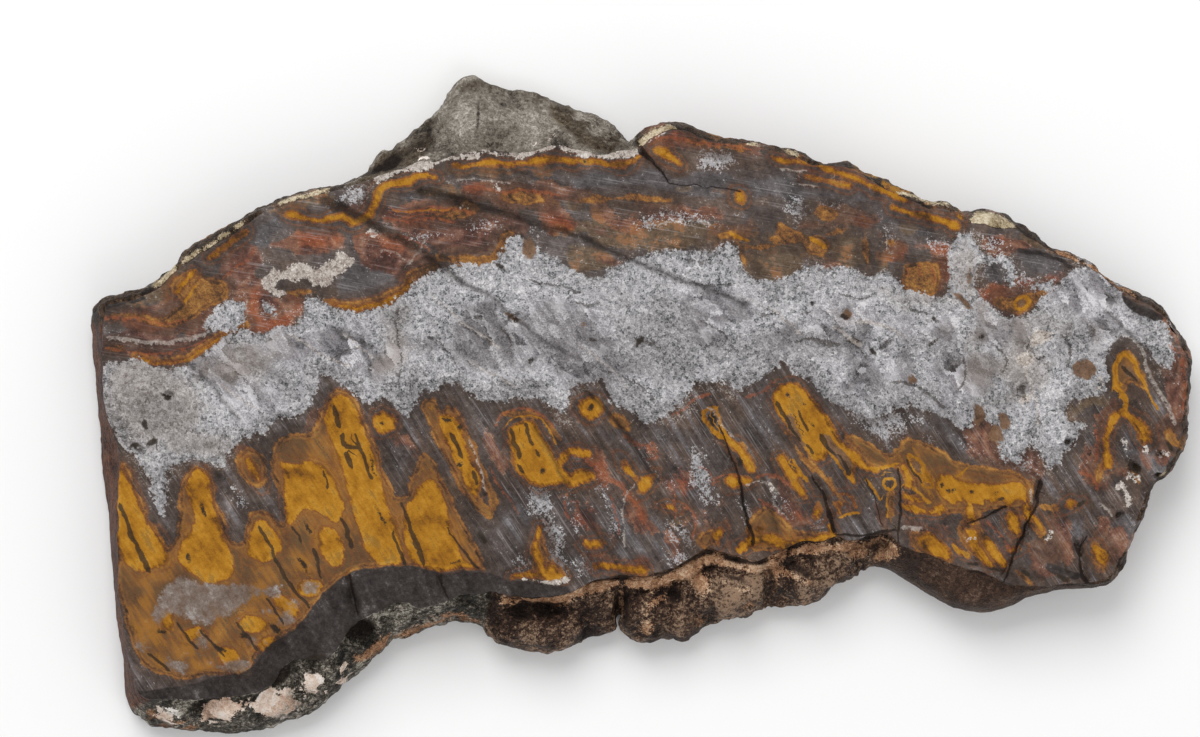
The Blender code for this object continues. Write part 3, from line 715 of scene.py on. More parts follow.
GRANULAR = (
    Patch((  # the band across the slab
        (-108, 7.8), (-104, 8), (-102, 9), (-100, 9.2), (-98, 8), (-95, 7.3), (-92, 7.6), (-89, 9),
        (-86.5, 10.8), (-84, 12.8), (-80, 15.3), (-79, 14.7), (-76, 14.6), (-72, 15.3), (-69, 16),
        (-67.2, 18.5), (-67.6, 21), (-65, 22), (-63, 20.8), (-60, 19.2), (-57, 18.4), (-54, 19), (-50, 20),
        (-47, 21.6), (-45, 24), (-42, 26), (-39, 27.5), (-37, 28.5), (-33, 28), (-30, 28.5), (-28, 30),
        (-26.5, 33), (-23, 33.2), (-20, 31), (-15, 28.5), (-12, 25.8), (-9, 25.3), (-4, 28.5), (0, 30.5),
        (5, 30.8), (10, 30.8), (15, 31.4), (18, 32.7), (20, 31), (20.5, 27), (24, 24), (30, 25.5),
        (33, 28.5), (37, 27.6), (40, 28), (44, 26.6), (47, 26), (50, 27), (52, 23.6), (56, 22.3),
        (61, 21.8), (62.4, 25), (61.6, 30), (62.5, 33.6), (66, 34.6), (67.6, 31.6), (72, 29), (69, 28),
        (67, 25.5), (67.2, 22.2), (72, 18.6), (76, 17.2), (79, 18.8), (80, 21.6), (84, 22.6), (85, 26),
        (88, 28.2), (91, 26.8), (95, 23.4), (97.5, 21), (101, 17.8), (105, 17.2), (106, 12), (106.8, 8),
        (105.8, 6.2), (103.5, 8.2), (101.5, 10.6), (99.4, 13.1), (97.3, 14), (95, 13.2), (93.5, 11.5),
        (92.5, 9), (93.5, 5), (93.2, 2.6), (91, 2), (88, 1.4), (86.5, 1), (85.2, -1), (85.5, -3),
        (87, -3.7), (89, -3.3), (88, -6), (85, -9.5), (82.5, -13.5), (80.5, -11.5), (79, -7.5),
        (76.5, -8.5), (75.5, -12.2), (72, -10), (72.5, -8), (71.6, -4), (67, -0.5), (66.4, -4.8),
        (64, -4.5), (62.5, -2.5), (57, -0.5), (53.5, 0.5), (50, -1.4), (46, -2.4), (42, -1.2), (38, 1),
        (34, 4), (30.8, 7), (29.5, 9.2), (28, 9), (27.2, 7), (24, 5), (20, 2.5),
        (18.5, 3.5), (17, 5), (13, 4.5), (10, 5), (9.4, 3.4), (8.8, 0.8), (7.5, -0.5), (5, -1.8),
        (3.5, -3.2), (1, -3.8), (-0.6, -3.2), (-1, -1.5), (-3, 0), (-5.5, 0.5), (-6, 3), (-7, 4.8),
        (-9, 5.2), (-11.5, 3.8), (-13, 4.4), (-15, 1), (-15.2, -2), (-17, -1), (-20, 1), (-24.5, 2),
        (-30, 1), (-32, 0.3), (-33.5, 1), (-35.3, 4.6), (-39, 3.4), (-43.8, 3.6), (-45, -0.5), (-46.5, -3),
        (-48.2, -0.8), (-50.5, 2.2), (-52.2, 0.6), (-54.5, -0.5), (-56, 1.5), (-58, 2.8), (-60, 4),
        (-62, 5.5), (-64.5, 6), (-65, 3), (-66, 0), (-68.5, -2.5), (-71, -2.5), (-73, -3), (-75, -6),
        (-78, -6.2), (-80, -7), (-82.5, -9.5), (-83, -12.5), (-85, -12), (-88, -10.5), (-91, -10.8),
        (-93.5, -12), (-94.4, -15), (-94.5, -20), (-95.5, -22), (-97.4, -18), (-98, -15), (-100, -11),
        (-103, -8), (-104.4, -6.6), (-108, 0),
    )),
    Patch((  # the pocket above the gold rim
        (-87.4, 14.2), (-86.4, 18.2), (-83.5, 20.2), (-80, 21.8), (-78.6, 19.2), (-79.4, 15.6), (-83, 15.2),
    )),
    Spot(-74.2, 19.4, 1.8, 1.1, -50), Spot(80.6, 23.8, 2.2, 0.8),
    Stroke(((69, 28.6), (72, 29.6), (74.4, 28), (74.2, 25)), (0.9, 1.6)),
)
SPECKLED = (  # where white grains are strewn through the dark stone
    Patch(((-82.4, -16.4), (-80.8, -15.4), (-79.4, -18.2), (-77.8, -19.4), (-78.6, -21), (-80.4, -20))),
    Patch(((40, 0), (46, -1.6), (53, -0.6), (54, -3.4), (51.4, -6), (50.4, -9.8), (46, -6.6), (42, -3))),
    Patch((  # the streak right of the middle
        (9.2, -8.6), (10.2, -6.4), (12, -7.4), (13, -10), (13.8, -13), (14.8, -16), (16.2, -19.6),
        (14, -20.4), (12.4, -18), (10.4, -15.4), (9.6, -12),
    )),
    Patch((
        (10.6, 48.8), (12, 51), (14.5, 51.7), (17, 51), (20, 49.6), (19.4, 48.2), (16.5, 46.8),
        (13.5, 46.5), (11, 47),
    )),
    Spot(-20, -19, 3.6, 3, -50), Spot(-17.4, -25.4, 4.4, 2, -62), Spot(-16.4, -30.6, 3.4, 1.8, -70),
    Spot(-12.6, -24.4, 3.8, 1.2, -75), Spot(-11.4, -32.6, 2.6, 1.6, -70), Spot(-23.8, -32, 1.8, 1.6),
    Spot(-5.4, -24, 4.2, 0.8, -80), Spot(4.6, -23, 3.4, 0.7, -60), Spot(8.6, -25.4, 5, 0.8, -60),
    Spot(7.6, -30.6, 2.4, 1.0, 10), Spot(-58.2, 41.6, 3.6, 1.8, 15), Spot(-21.4, 35.8, 1.4, 0.8, -60),
    Spot(-14.2, -19, 1.4, 3.4), Spot(31.6, 38.8, 2.4, 2.8), Spot(38, 40, 2.2, 1.2),
    Spot(36.3, -24.2, 1.2, 1.9),
    Spot(65.6, -8, 1.0, 1.8, 30), Spot(57.6, -7.4, 1.2, 1.6), Spot(61.4, 36, 1.6, 1.0),
    Spot(-44, 33.2, 3.4, 1.8),
    Spot(9.6, 37.6, 4.6, 1.2, -10), Spot(1.2, 36.6, 2.4, 1.4, 10), Spot(58.4, 32.6, 3, 1.6, -10),
    Spot(49.4, 33.6, 2, 2.4),
    Spot(70.4, 32.4, 3.6, 1.8), Spot(77.4, 25, 3.4, 1.6, 10), Spot(27.4, -20, 1.4, 3.6, 25),
    Spot(56, -3, 3, 0.8, -20), Spot(76, -11.6, 3.4, 1.4, -30), Spot(-7, -18, 0.8, 3.4, 20),
    Spot(21.4, -22.6, 0.8, 2.6, 25), Spot(-31, 36.4, 2.4, 1.2), Spot(98, -10.6, 1.4, 0.9, -50),
    Spot(2.6, -12, 0.6, 3.4, 28),
)
LILAC = (
    Spot(-83, 6.4, 9, 4.6, -30), Spot(-72, 10, 8, 3.4), Spot(-56, 11, 8, 4.4), Spot(-30, 14, 7, 4, -20),
    Spot(-12, 15, 8, 5, -20), Spot(15.5, 18, 5, 2.6), Spot(-8, 8, 7, 3), Spot(47, 17.4, 10, 2.6, -6),
    Spot(56, 14, 12, 3, 4), Spot(66, 7, 9, 4.4, 20), Spot(46, 6, 6.4, 3.6), Spot(37, 14.6, 4, 1.6),
    Spot(28.6, 14.4, 2.2, 1.1, 10), Spot(22.8, 15, 0.9, 3.2, 15), Spot(64.6, 5.4, 1.8, 4.4, -25),
    Spot(52.6, 10.6, 1.1, 1.6), Spot(91, 21.6, 4, 2.4), Spot(73, 13.6, 6, 3.4), Spot(93.4, 15.8, 3.4, 2.2),
)
SHADE = (  # the darker stretches of the granular band
    Spot(-47, 15, 6, 2.4, -50), Spot(-33, 14, 10, 5, -20), Spot(-12, 12, 12, 6, -20), Spot(3, 13, 11, 8),
    Spot(22, 11, 10, 4.4),
    Spot(36, 12, 9, 3.6), Spot(47, 4, 8, 3, -30), Spot(74, 4, 4.4, 3.6), Spot(87, 11.4, 4, 2),
    Spot(6, 19, 12, 3, -8),
    Spot(62, 11, 13, 3.4), Spot(-96, -2, 8, 5, -20), Spot(-74, 7, 7, 3.4, -30), Spot(-90, -7, 5, 2),
    Spot(86, 13, 6, 3, 20),
)
PALE = (
    Patch((  # cream quartz in the upper left
        (-76.4, 24.6), (-74.6, 26.6), (-73.2, 28.6), (-72, 26.6), (-70, 28.4), (-66.8, 28.2), (-64.4, 27),
        (-62.4, 28.6), (-59.4, 30.6), (-56.8, 28.6), (-58.4, 27), (-61, 25.8), (-61.8, 23.4), (-65.4, 23.6),
        (-66.8, 25.4), (-69, 24.6), (-71.6, 25.6), (-73.4, 23.8), (-70.2, 22.6), (-71.8, 21.6), (-75, 23),
    )),
    Stroke((  # the vein under the peak
        (-52.4, 45.4), (-48.6, 46.8), (-46, 47.9), (-42.4, 47.6), (-40.4, 48.8), (-36.4, 49.7), (-33, 50.2),
        (-30, 50.7), (-25, 49.8), (-20, 50.9), (-16, 51.6), (-12, 50.6), (-8, 50), (-4, 50), (-0.6, 50.6),
    ), 1.2),
    Patch(((-6.6, 49.4), (-4.4, 51), (-1.4, 52.2), (-0.2, 51), (-1.6, 49.4), (-4.2, 48.8))),
    Stroke(((0.6, 53), (2.8, 54.4), (5.4, 54.8)), (1.6, 0.8)),
    Stroke(((96.2, -15.8), (97.4, -18), (98.2, -20.6)), (0.7, 0.2)),
    Spot(95.6, -16.4, 0.6, 0.8), Spot(96.8, -7.2, 0.4, 1.0, 10), Spot(101, -8.6, 0.5, 0.6),
    Spot(105, -9.6, 0.5, 0.9, 40),
    Spot(98.6, -14.8, 0.8, 0.4, -30), Spot(77, 9.4, 1.6, 1.1), Spot(80, 13.6, 2.4, 1.2, 20),
    Spot(76.6, 1, 0.8, 1.0),
    Stroke(((-23.4, -35), (-18.6, -35.6), (-14.8, -34.8)), (0.3, 0.9)), Spot(67.2, -26.6, 0.6, 0.2, 20),
    Spot(81.6, -26.2, 0.5, 0.2, 60), Spot(-53.8, 34.4, 0.9, 0.6, 30), Spot(-28.4, 43.4, 0.4, 0.9),
    Spot(-35.4, 39.6, 1.2, 0.5), Spot(91.8, 4.6, 0.9, 1.7), Spot(26.4, -16.8, 0.3, 1.0, 30), 
)
GOLD = (
    Patch((  # the flames of the left end
        (-104.8, -11.6), (-103.5, -12.6), (-101.2, -17), (-99.8, -21), (-98.4, -24.5), (-95.6, -28),
        (-94, -31.4), (-97, -33), (-101, -33.4), (-104.6, -31),
    )),
    Patch((
        (-89.6, -13), (-88, -12.4), (-86.6, -14), (-85.6, -18), (-84.6, -22.6), (-83, -27), (-81.4, -31),
        (-81.2, -34.4), (-84.6, -35.6), (-88.6, -34.2), (-92, -31.4), (-91.8, -27.8), (-89.2, -25),
        (-89.2, -21), (-91, -16.6),
    )),
    Patch((
        (-78.6, -30), (-78.2, -26), (-76.6, -22.8), (-74.6, -22.6), (-72.6, -25.2), (-71, -28),
        (-74, -31.6),
    )),
    Spot(-77.5, -12.4, 2.3, 0.8, -60),
    Patch((
        (-72.4, -10.6), (-69, -12.4), (-65.6, -10.6), (-62.6, -12.4), (-60.8, -16), (-59, -20), (-60.6, -24),
        (-64, -22), (-67.6, -20.4), (-70, -24.8), (-71.4, -18), (-70.4, -14.4),
    )),
    Patch((  # the tall flame
        (-62.4, 0.4), (-60.4, 1.8), (-58.4, 1), (-56, -2.8), (-53.8, -8.6), (-52, -14), (-50.4, -19.6),
        (-48.2, -25), (-47, -30.6), (-48.6, -32.2), (-53, -31.8), (-55.4, -28), (-57.6, -21), (-59.6, -14.4),
        (-61.4, -8), (-63, -3.6),
    )),
    Spot(-51, -3.7, 2.2, 2.1), Spot(-62, -28, 2.4, 4, 20),
    Patch((
        (-43.6, -15.6), (-41.4, -14.8), (-39.8, -17.8), (-38.6, -21), (-37.6, -24.8), (-36.4, -28),
        (-35.6, -31), (-30.6, -33.3), (-35, -32.8), (-41, -32.9), (-46.2, -32), (-46.6, -26), (-47.4, -21),
        (-45, -19),
    )),
    Patch((  # the slim flame
        (-40.2, -3.4), (-39.2, -1.8), (-37.2, -2), (-35.4, -4), (-35.2, -7), (-34.2, -10), (-32.4, -13.4),
        (-32, -15.4), (-33, -18.6), (-34.2, -17), (-35.6, -14), (-37.2, -10.6), (-38.8, -7),
    )),
    Patch((  # the short flame right of it
        (-26.4, -6), (-25, -3.8), (-22.4, -3.2), (-20.6, -4), (-19.6, -7), (-18, -9.8), (-16.2, -12),
        (-13.6, -13.6), (-14.6, -15.6), (-17.6, -15.6), (-21, -15.8), (-23.6, -14.4), (-24.8, -11),
    )),
    Stroke(((-16, -11.4), (-14.6, -9.4), (-12.6, -8.9), (-10.8, -9.6)), 1.5),
    Patch((
        (-17, -13.4), (-13.6, -16.6), (-11.4, -15.4), (-8.8, -14.6), (-10.4, -13), (-13, -12.8),
        (-14, -14.6),
    )),
    Spot(-9.9, -0.5, 2.4, 2.1), Spot(-1.8, -12.8, 1.6, 0.6, -50), Spot(1.4, -15.6, 1.9, 1.0, 60),
    Stroke(((16.8, -6.4), (18.8, -8), (20.6, -10), (22, -12.6)), 1.3), Spot(18.6, -15.4, 1.1, 1.2),
    Spot(21.2, -15.2, 1.0, 0.8),
    Patch((  # the long flame of the right half, upper run
        (26.6, 0.6), (27, 3.4), (29.4, 4.6), (31.4, 3.8), (33.6, 1.6), (36, -1), (38.6, -4), (40.4, -7.2),
        (43, -10.4), (42.4, -12.4), (40.6, -10), (38.6, -7), (37, -8), (37.6, -10.4), (35.4, -11.4),
        (33.8, -9.6),
        (32.4, -7.4), (30, -5), (28, -2.4),
    )),
    Stroke(((42.6, -11), (42.2, -13), (42.8, -15.4)), 0.8),
    Stroke(((42.4, -10.4), (45, -13), (47.4, -13)), (1.6, 0.7)),
    Patch((  # its right run, with teeth below
        (59, -15), (61, -14), (63.6, -14.8), (66.4, -15.6), (69.4, -15.8), (72, -16), (75, -15.4),
        (77.8, -15.8),
        (76.8, -17), (77.4, -20), (75.8, -18.4), (74, -20.4), (72.8, -18.8), (71, -19.6), (69.6, -18.2),
        (68, -19.8),
        (66.6, -19.4), (64.4, -18.4), (62.6, -20.2), (60.8, -18.6), (59.2, -16.6),
    )),
    Stroke(((52.6, -12), (53.8, -14.4), (53.4, -15.6)), 0.9),
    Stroke(((52.8, -20), (55, -21), (58.2, -21.2)), 0.8),
    Spot(60, -20.8, 0.9, 0.7), Stroke(((52.8, -18.2), (54.4, -18.4), (56, -19.4)), 0.5),
    Stroke(((66, -20), (66.6, -23.2)), 0.9),
    Stroke(((40.6, -17.8), (42, -18.2), (43.2, -20.6)), 0.4), Stroke(((39.6, -19.8), (40, -21.6)), 0.5),
    Patch(((55.8, -26.4), (58, -25.2), (60, -27), (62.6, -30), (61.2, -30.8), (58.4, -30), (56.6, -28.4))),
    Stroke(((63, -28.2), (65.4, -30.2)), 1.1),
    Patch(((64.6, -24.8), (66.8, -24.6), (68.2, -27), (66.4, -27.4))),
    Stroke(((66.6, -27.4), (69.4, -31.2)), 1.6), Stroke(((69.6, -27.2), (72.4, -31.2)), 1.8),
    Spot(74.4, -28.8, 0.8, 0.4, 10),
    Patch(((73.6, -20.8), (75.2, -21.6), (76.4, -24.4), (75.8, -26), (74.2, -25.4), (73.6, -23.4))),
    Stroke(((76.8, -20.6), (77.4, -22.4)), 1.2), Stroke(((78.6, -22), (80, -24.8)), 0.6),
    Spot(86, -19.9, 1.0, 0.5, 20),
    Stroke(((91, -28.6), (92.8, -31)), 1.1),
    Stroke(((19.6, -28.8), (22.6, -26.6), (26.6, -26.6), (29, -28)), 2.0),
    Stroke(((29, -27.6), (33, -27.2), (37, -26.8)), 1.0), Stroke(((38.4, -26.4), (38, -24.6)), 0.8),
    Stroke(((28.4, -10.6), (29.4, -13.2), (31, -14.4)), (1.0, 1.6)),
    Stroke(((31, -15.6), (32.6, -17.8)), 1.0),
    Stroke(((-19.8, -24.6), (-20.8, -27.6), (-20.6, -31.6), (-19.4, -33.6)), (0.7, 1.4)),
    Patch(((-19.6, -34.4), (-18.6, -31.2), (-17, -32.4), (-14.8, -34.6), (-18, -35))),
    Stroke(((-25, -34.4), (-20.4, -33.8)), 0.9), Stroke(((-9, -32.2), (-4, -32.8), (1, -33)), (1.2, 0.9)),
    Stroke((
        (96.8, -1), (95.2, -1.8), (94.4, -3), (94, -5.5), (93.4, -8), (93.4, -10), (93.2, -12),
    ), (1.0, 1.3)),
    Stroke(((96.6, -1.4), (98.4, -2.4), (99.8, -3.4), (100.6, -4.8), (101.2, -6.4)), (1.0, 1.5)),
    Stroke((  # the rims of the upper left
        (-99.6, 9.4), (-97, 8.5), (-94, 8.4), (-91, 9.2), (-88, 10.9), (-85, 12.8), (-82, 14.8), (-80, 15.9),
    ), 0.4),
    Stroke(((-61.6, 20.4), (-57, 19.3), (-54, 19.9), (-50, 20.9), (-47.5, 22), (-46, 24.4)), (0.4, 0.7)),
    Stroke(((-92.6, 22.4), (-91.6, 24.4), (-89, 26.8)), 0.7),
    Stroke(((-86.6, 29.4), (-83.6, 31.4), (-79, 34.4)), 0.5),
    Stroke((
        (-69.8, 38.2), (-66.6, 36.9), (-64, 36.6), (-60, 37.7), (-57.2, 36.3), (-55.2, 37.4), (-53, 40),
        (-52, 42.6), (-50, 44.1), (-47, 44.6), (-45, 45.9), (-42.6, 46.1), (-41, 45.4),
    ), 0.9),
    Stroke((
        (-36.8, 47.6), (-35, 47.5), (-33.6, 48.2), (-30, 48.4), (-26.4, 47.9), (-23, 48.2), (-20, 48.9),
        (-16, 49.3), (-12, 48.9), (-8, 48.5), (-4, 47.9), (-1.6, 48.4), (-0.2, 49.6),
    ), (0.9, 0.6)),
    Stroke(((-22, 48.6), (-16, 49.1), (-12.6, 48.5)), 1.2),
    Patch(((2.2, 50.8), (4.4, 51.4), (6, 50.6), (7, 49.2), (8.6, 48.6), (8.4, 47.8), (6, 48.6), (4, 49.4))),
    Patch(((18.9, 42.5), (20.4, 42.3), (20.6, 40.6), (19.1, 40.7))),
    Stroke((
        (26.6, 49.6), (30, 48.7), (33.4, 48.9), (38, 46.9), (42, 45.4), (46, 44), (50, 42.4), (54, 40.6),
    ), 0.6),
    Stroke(((47.4, 43.2), (50.6, 42), (53, 40.8)), 1.0), Stroke(((33.4, 45.6), (38, 44.8), (42, 43.6)), 0.4),
    Stroke(((50.4, 39.6), (53, 38.4), (56, 37.9), (60, 37.3), (63, 35.5)), (0.6, 1.4)),
    Spot(57.6, 37.6, 2.6, 0.8, -12),
    Spot(-94.6, -43, 1.3, 1.8), Spot(-71, -40, 2.6, 1.4, -40), Spot(-77.4, -44, 2.8, 1.6),
    Spot(-74.6, -47.6, 2.0, 1.2, 30),
    Spot(-82.4, -50.4, 2.2, 1.6), Spot(-66, -36.6, 2.4, 1.8), Spot(-80, -53, 2, 0.8),
    Spot(-89, -46, 2.2, 1.2),
    Spot(15.4, -26, 1.3, 0.6, 60), Spot(-9.6, -27.6, 1.4, 0.7), Spot(6, -20.4, 0.9, 0.4),
    Spot(35.8, -21.6, 0.7, 0.9),
)
OCHRE = (
    Spot(45.2, 31.4, 0.6, 3.4, 4), Spot(38.4, 34.6, 2.6, 0.6, 20), Spot(20.6, 29.6, 0.5, 2, 20),
    Spot(25.4, 32, 4, 0.5, 8),
    Patch((  # all the ground of the left flames
        (-104.8, -10.6), (-103, -11.6), (-101, -15.6), (-99, -20), (-97, -25), (-94.8, -29), (-93, -27),
        (-92, -23), (-92.6, -18), (-90.6, -12.4), (-87.6, -11.6), (-85.2, -14.6), (-84, -21), (-82, -27),
        (-79.4, -27), (-79.2, -23), (-76.8, -20.6), (-73.4, -21), (-71.4, -24), (-70.6, -20), (-73.4, -15.4),
        (-74.2, -10.4), (-72, -6), (-69, -5), (-66, -5.6), (-63.8, -3), (-63.6, 0), (-61.6, 2.6),
        (-59, 2.7), (-56.8, 0.4), (-54.6, -4), (-52, -9), (-50.2, -15), (-48.4, -18.6), (-45.6, -18),
        (-45.2, -12), (-43.6, -9), (-42, -10.4), (-40, -14), (-36.5, -20.6), (-33.5, -26.4), (-30.5, -31.6),
        (-30, -33.6), (-36, -33.6), (-44, -32.6), (-53, -32.3), (-58, -33.3), (-60, -34.5), (-64, -38.8),
        (-67, -42), (-70, -45.3), (-74, -47.5), (-76.5, -50.5), (-78.5, -53), (-84, -54.2), (-90, -55),
        (-96, -54), (-100, -52), (-104.8, -40), (-105.4, -24),
    )),
    Spot(-77.6, -12.2, 4.2, 3.0, -60),
    Stroke(((-42, -0.4), (-40.4, -4), (-38.6, -9), (-36, -14), (-33.4, -19.4), (-30.4, -22)), (3.4, 2.2)),
    Stroke(((-38.4, -1), (-35.6, -3.8), (-34.4, -8), (-31.6, -13), (-29.6, -18), (-29.4, -21)), (2.4, 1.4)),
    Stroke(((-27, -1.6), (-22.6, -1.6), (-19.4, -3), (-16.4, -7)), 1.4),
    Patch((  # the rust ground of the right flames
        (40, -5.6), (44, -6.6), (47, -8.6), (50, -9.6), (51.4, -8), (54.6, -6.8), (58, -7.8), (61, -10),
        (64, -11.4), (68, -12.2), (72, -12.8), (76, -13.6), (78.4, -15.2), (78.6, -19), (76, -21.4),
        (70, -20.8), (62, -21.8), (56, -22.2), (53, -20.4), (55.4, -18), (54, -14), (52, -12.4),
        (47, -12.6), (43, -9.6),
    )),
    Spot(58.6, -28.6, 5.2, 2.3, -36), Spot(66.6, -26.8, 4.4, 2.4, -64), Spot(69.8, -29, 4.2, 2.3, -48),
    Spot(75, -23.6, 1.7, 3.8, 16), Spot(66.4, -21.8, 1.5, 2.6), Spot(78, -22.6, 1.3, 3.2, 24),
    Spot(50.4, -19, 0.9, 3.4),
    Stroke(((35, -12.6), (38.6, -15.8), (41, -20)), 0.7), Stroke(((28.6, -10), (31, -14), (33, -18.6)), 1.2),
    Patch((
        (21.8, -29.6), (20, -25.6), (23, -22), (25.4, -19.8), (27.6, -22), (29.4, -24.4), (34, -25.8),
        (39, -25.6), (37.6, -28), (30, -28.6),
    )),
    Patch((  # orange ground over the maroon layers of the left edge
        (-94, 22.6), (-93, 25.6), (-89.4, 28), (-86, 25), (-83.6, 25.2), (-82.2, 23), (-83.4, 20.6),
        (-87, 19.6), (-89.4, 16.6), (-93, 15.4), (-97, 16.4), (-94, 18.6), (-91.4, 20.6),
    )),
    Stroke(((-106, 17.8), (-102, 17.8), (-97.6, 16.8), (-93, 16)), 0.8), Spot(-105, 11.4, 1.8, 0.9),
    Stroke((
        (-101, 9.9), (-97, 8.8), (-94, 8.7), (-91, 9.6), (-88, 11.3), (-85, 13.2), (-82, 15.2), (-79, 16.2),
    ), 1.6), Stroke(((-62, 20.8), (-57, 19.7), (-54, 20.3), (-50, 21.3), (-47, 23), (-45.6, 25)), (1.6, 2.0)),
    Stroke(((-70.4, 22.6), (-66.6, 22.6), (-63.2, 22.2)), 0.7), Spot(-62.4, 20.6, 1.6, 1.0),
    Stroke(((-40, 29.4), (-36, 28.9), (-33, 28.7), (-30, 29.2), (-28, 30.4), (-26.6, 33.4)), 1.9),
    Stroke(((-46.4, 23.6), (-44.6, 26), (-41, 27.6)), 1.9), Spot(-37, 38.6, 5.4, 1.4, 8),
    Spot(-24, 41.4, 4, 1.6, -8),
    Spot(35.4, 32, 2.4, 2.2), Spot(37, 38.4, 2.6, 1.6), Spot(30.6, 34, 3.4, 1.2, -25),
    Spot(16.8, 34.2, 1.8, 0.7, 20),
    Patch((
        (52.2, 23.4), (52.4, 28.2), (52.4, 28.2), (56, 28.5), (59.6, 28.1), (59.6, 28.1), (60, 25.6),
        (59.4, 22.8), (59.4, 22.8),
        (56, 22.2), (52.2, 23.4),
    )),
    Patch((
        (70.4, 20.8), (72, 22), (74, 21.6), (75.4, 22.6), (78.2, 22.4), (81.6, 23.4), (82.2, 22.4),
        (79, 20.8), (78.2, 18.6),
        (75.4, 18), (73, 18.6),
    )),
    Stroke(((62.6, 22.2), (64, 21), (65.4, 20.2)), (0.5, 1.1)), Spot(49.6, 32.4, 1.1, 0.7),
    Patch((  # the loop at the right end
        (95.2, 3.4), (94.6, 6), (94.6, 9), (96, 10.8), (98, 10.4), (99.6, 8.4), (101, 5.4), (102.4, 2),
        (100, 3.4), (98, 5),
        (97, 2.4),
    )),
    Stroke(((92.6, -12), (91.4, -15.8)), (1.2, 0.8)), Stroke(((92.6, 27.4), (96, 24.2), (101, 20.6)), 0.5),
    Spot(76.4, -34, 2.6, 0.9, -45), Spot(81.4, -20.4, 2.2, 0.8, -10), Spot(79.6, -25.6, 0.8, 2.6, 30),
    Spot(86.4, -20, 1.6, 0.9, 20),
    Spot(106.6, -6.6, 1.8, 1.0, -60), Spot(99, -14.8, 1.8, 0.8, -45),
    Spot(27.4, 33.6, 1.2, 0.7), Spot(92, -30, 2.6, 1.6, -60), Stroke(((-12, 41), (-4, 41.4), (6, 41)), 1.1),
    Stroke(((10, 53), (14, 52.3), (20, 51.2)), 1.1), Spot(23.6, 47.4, 1.3, 0.4),
    Spot(-4, -3.8, 2.4, 1.2, -40),
    Stroke(((27.4, 0), (28.6, -4.4), (31.6, -9.6), (35, -13)), 1.0), Spot(13.4, -26.6, 2.2, 1.3, 30),
    Patch(((-20.6, -24), (-19, -26), (-18.6, -31), (-19.6, -34.6), (-21.6, -34), (-22, -28))),
)
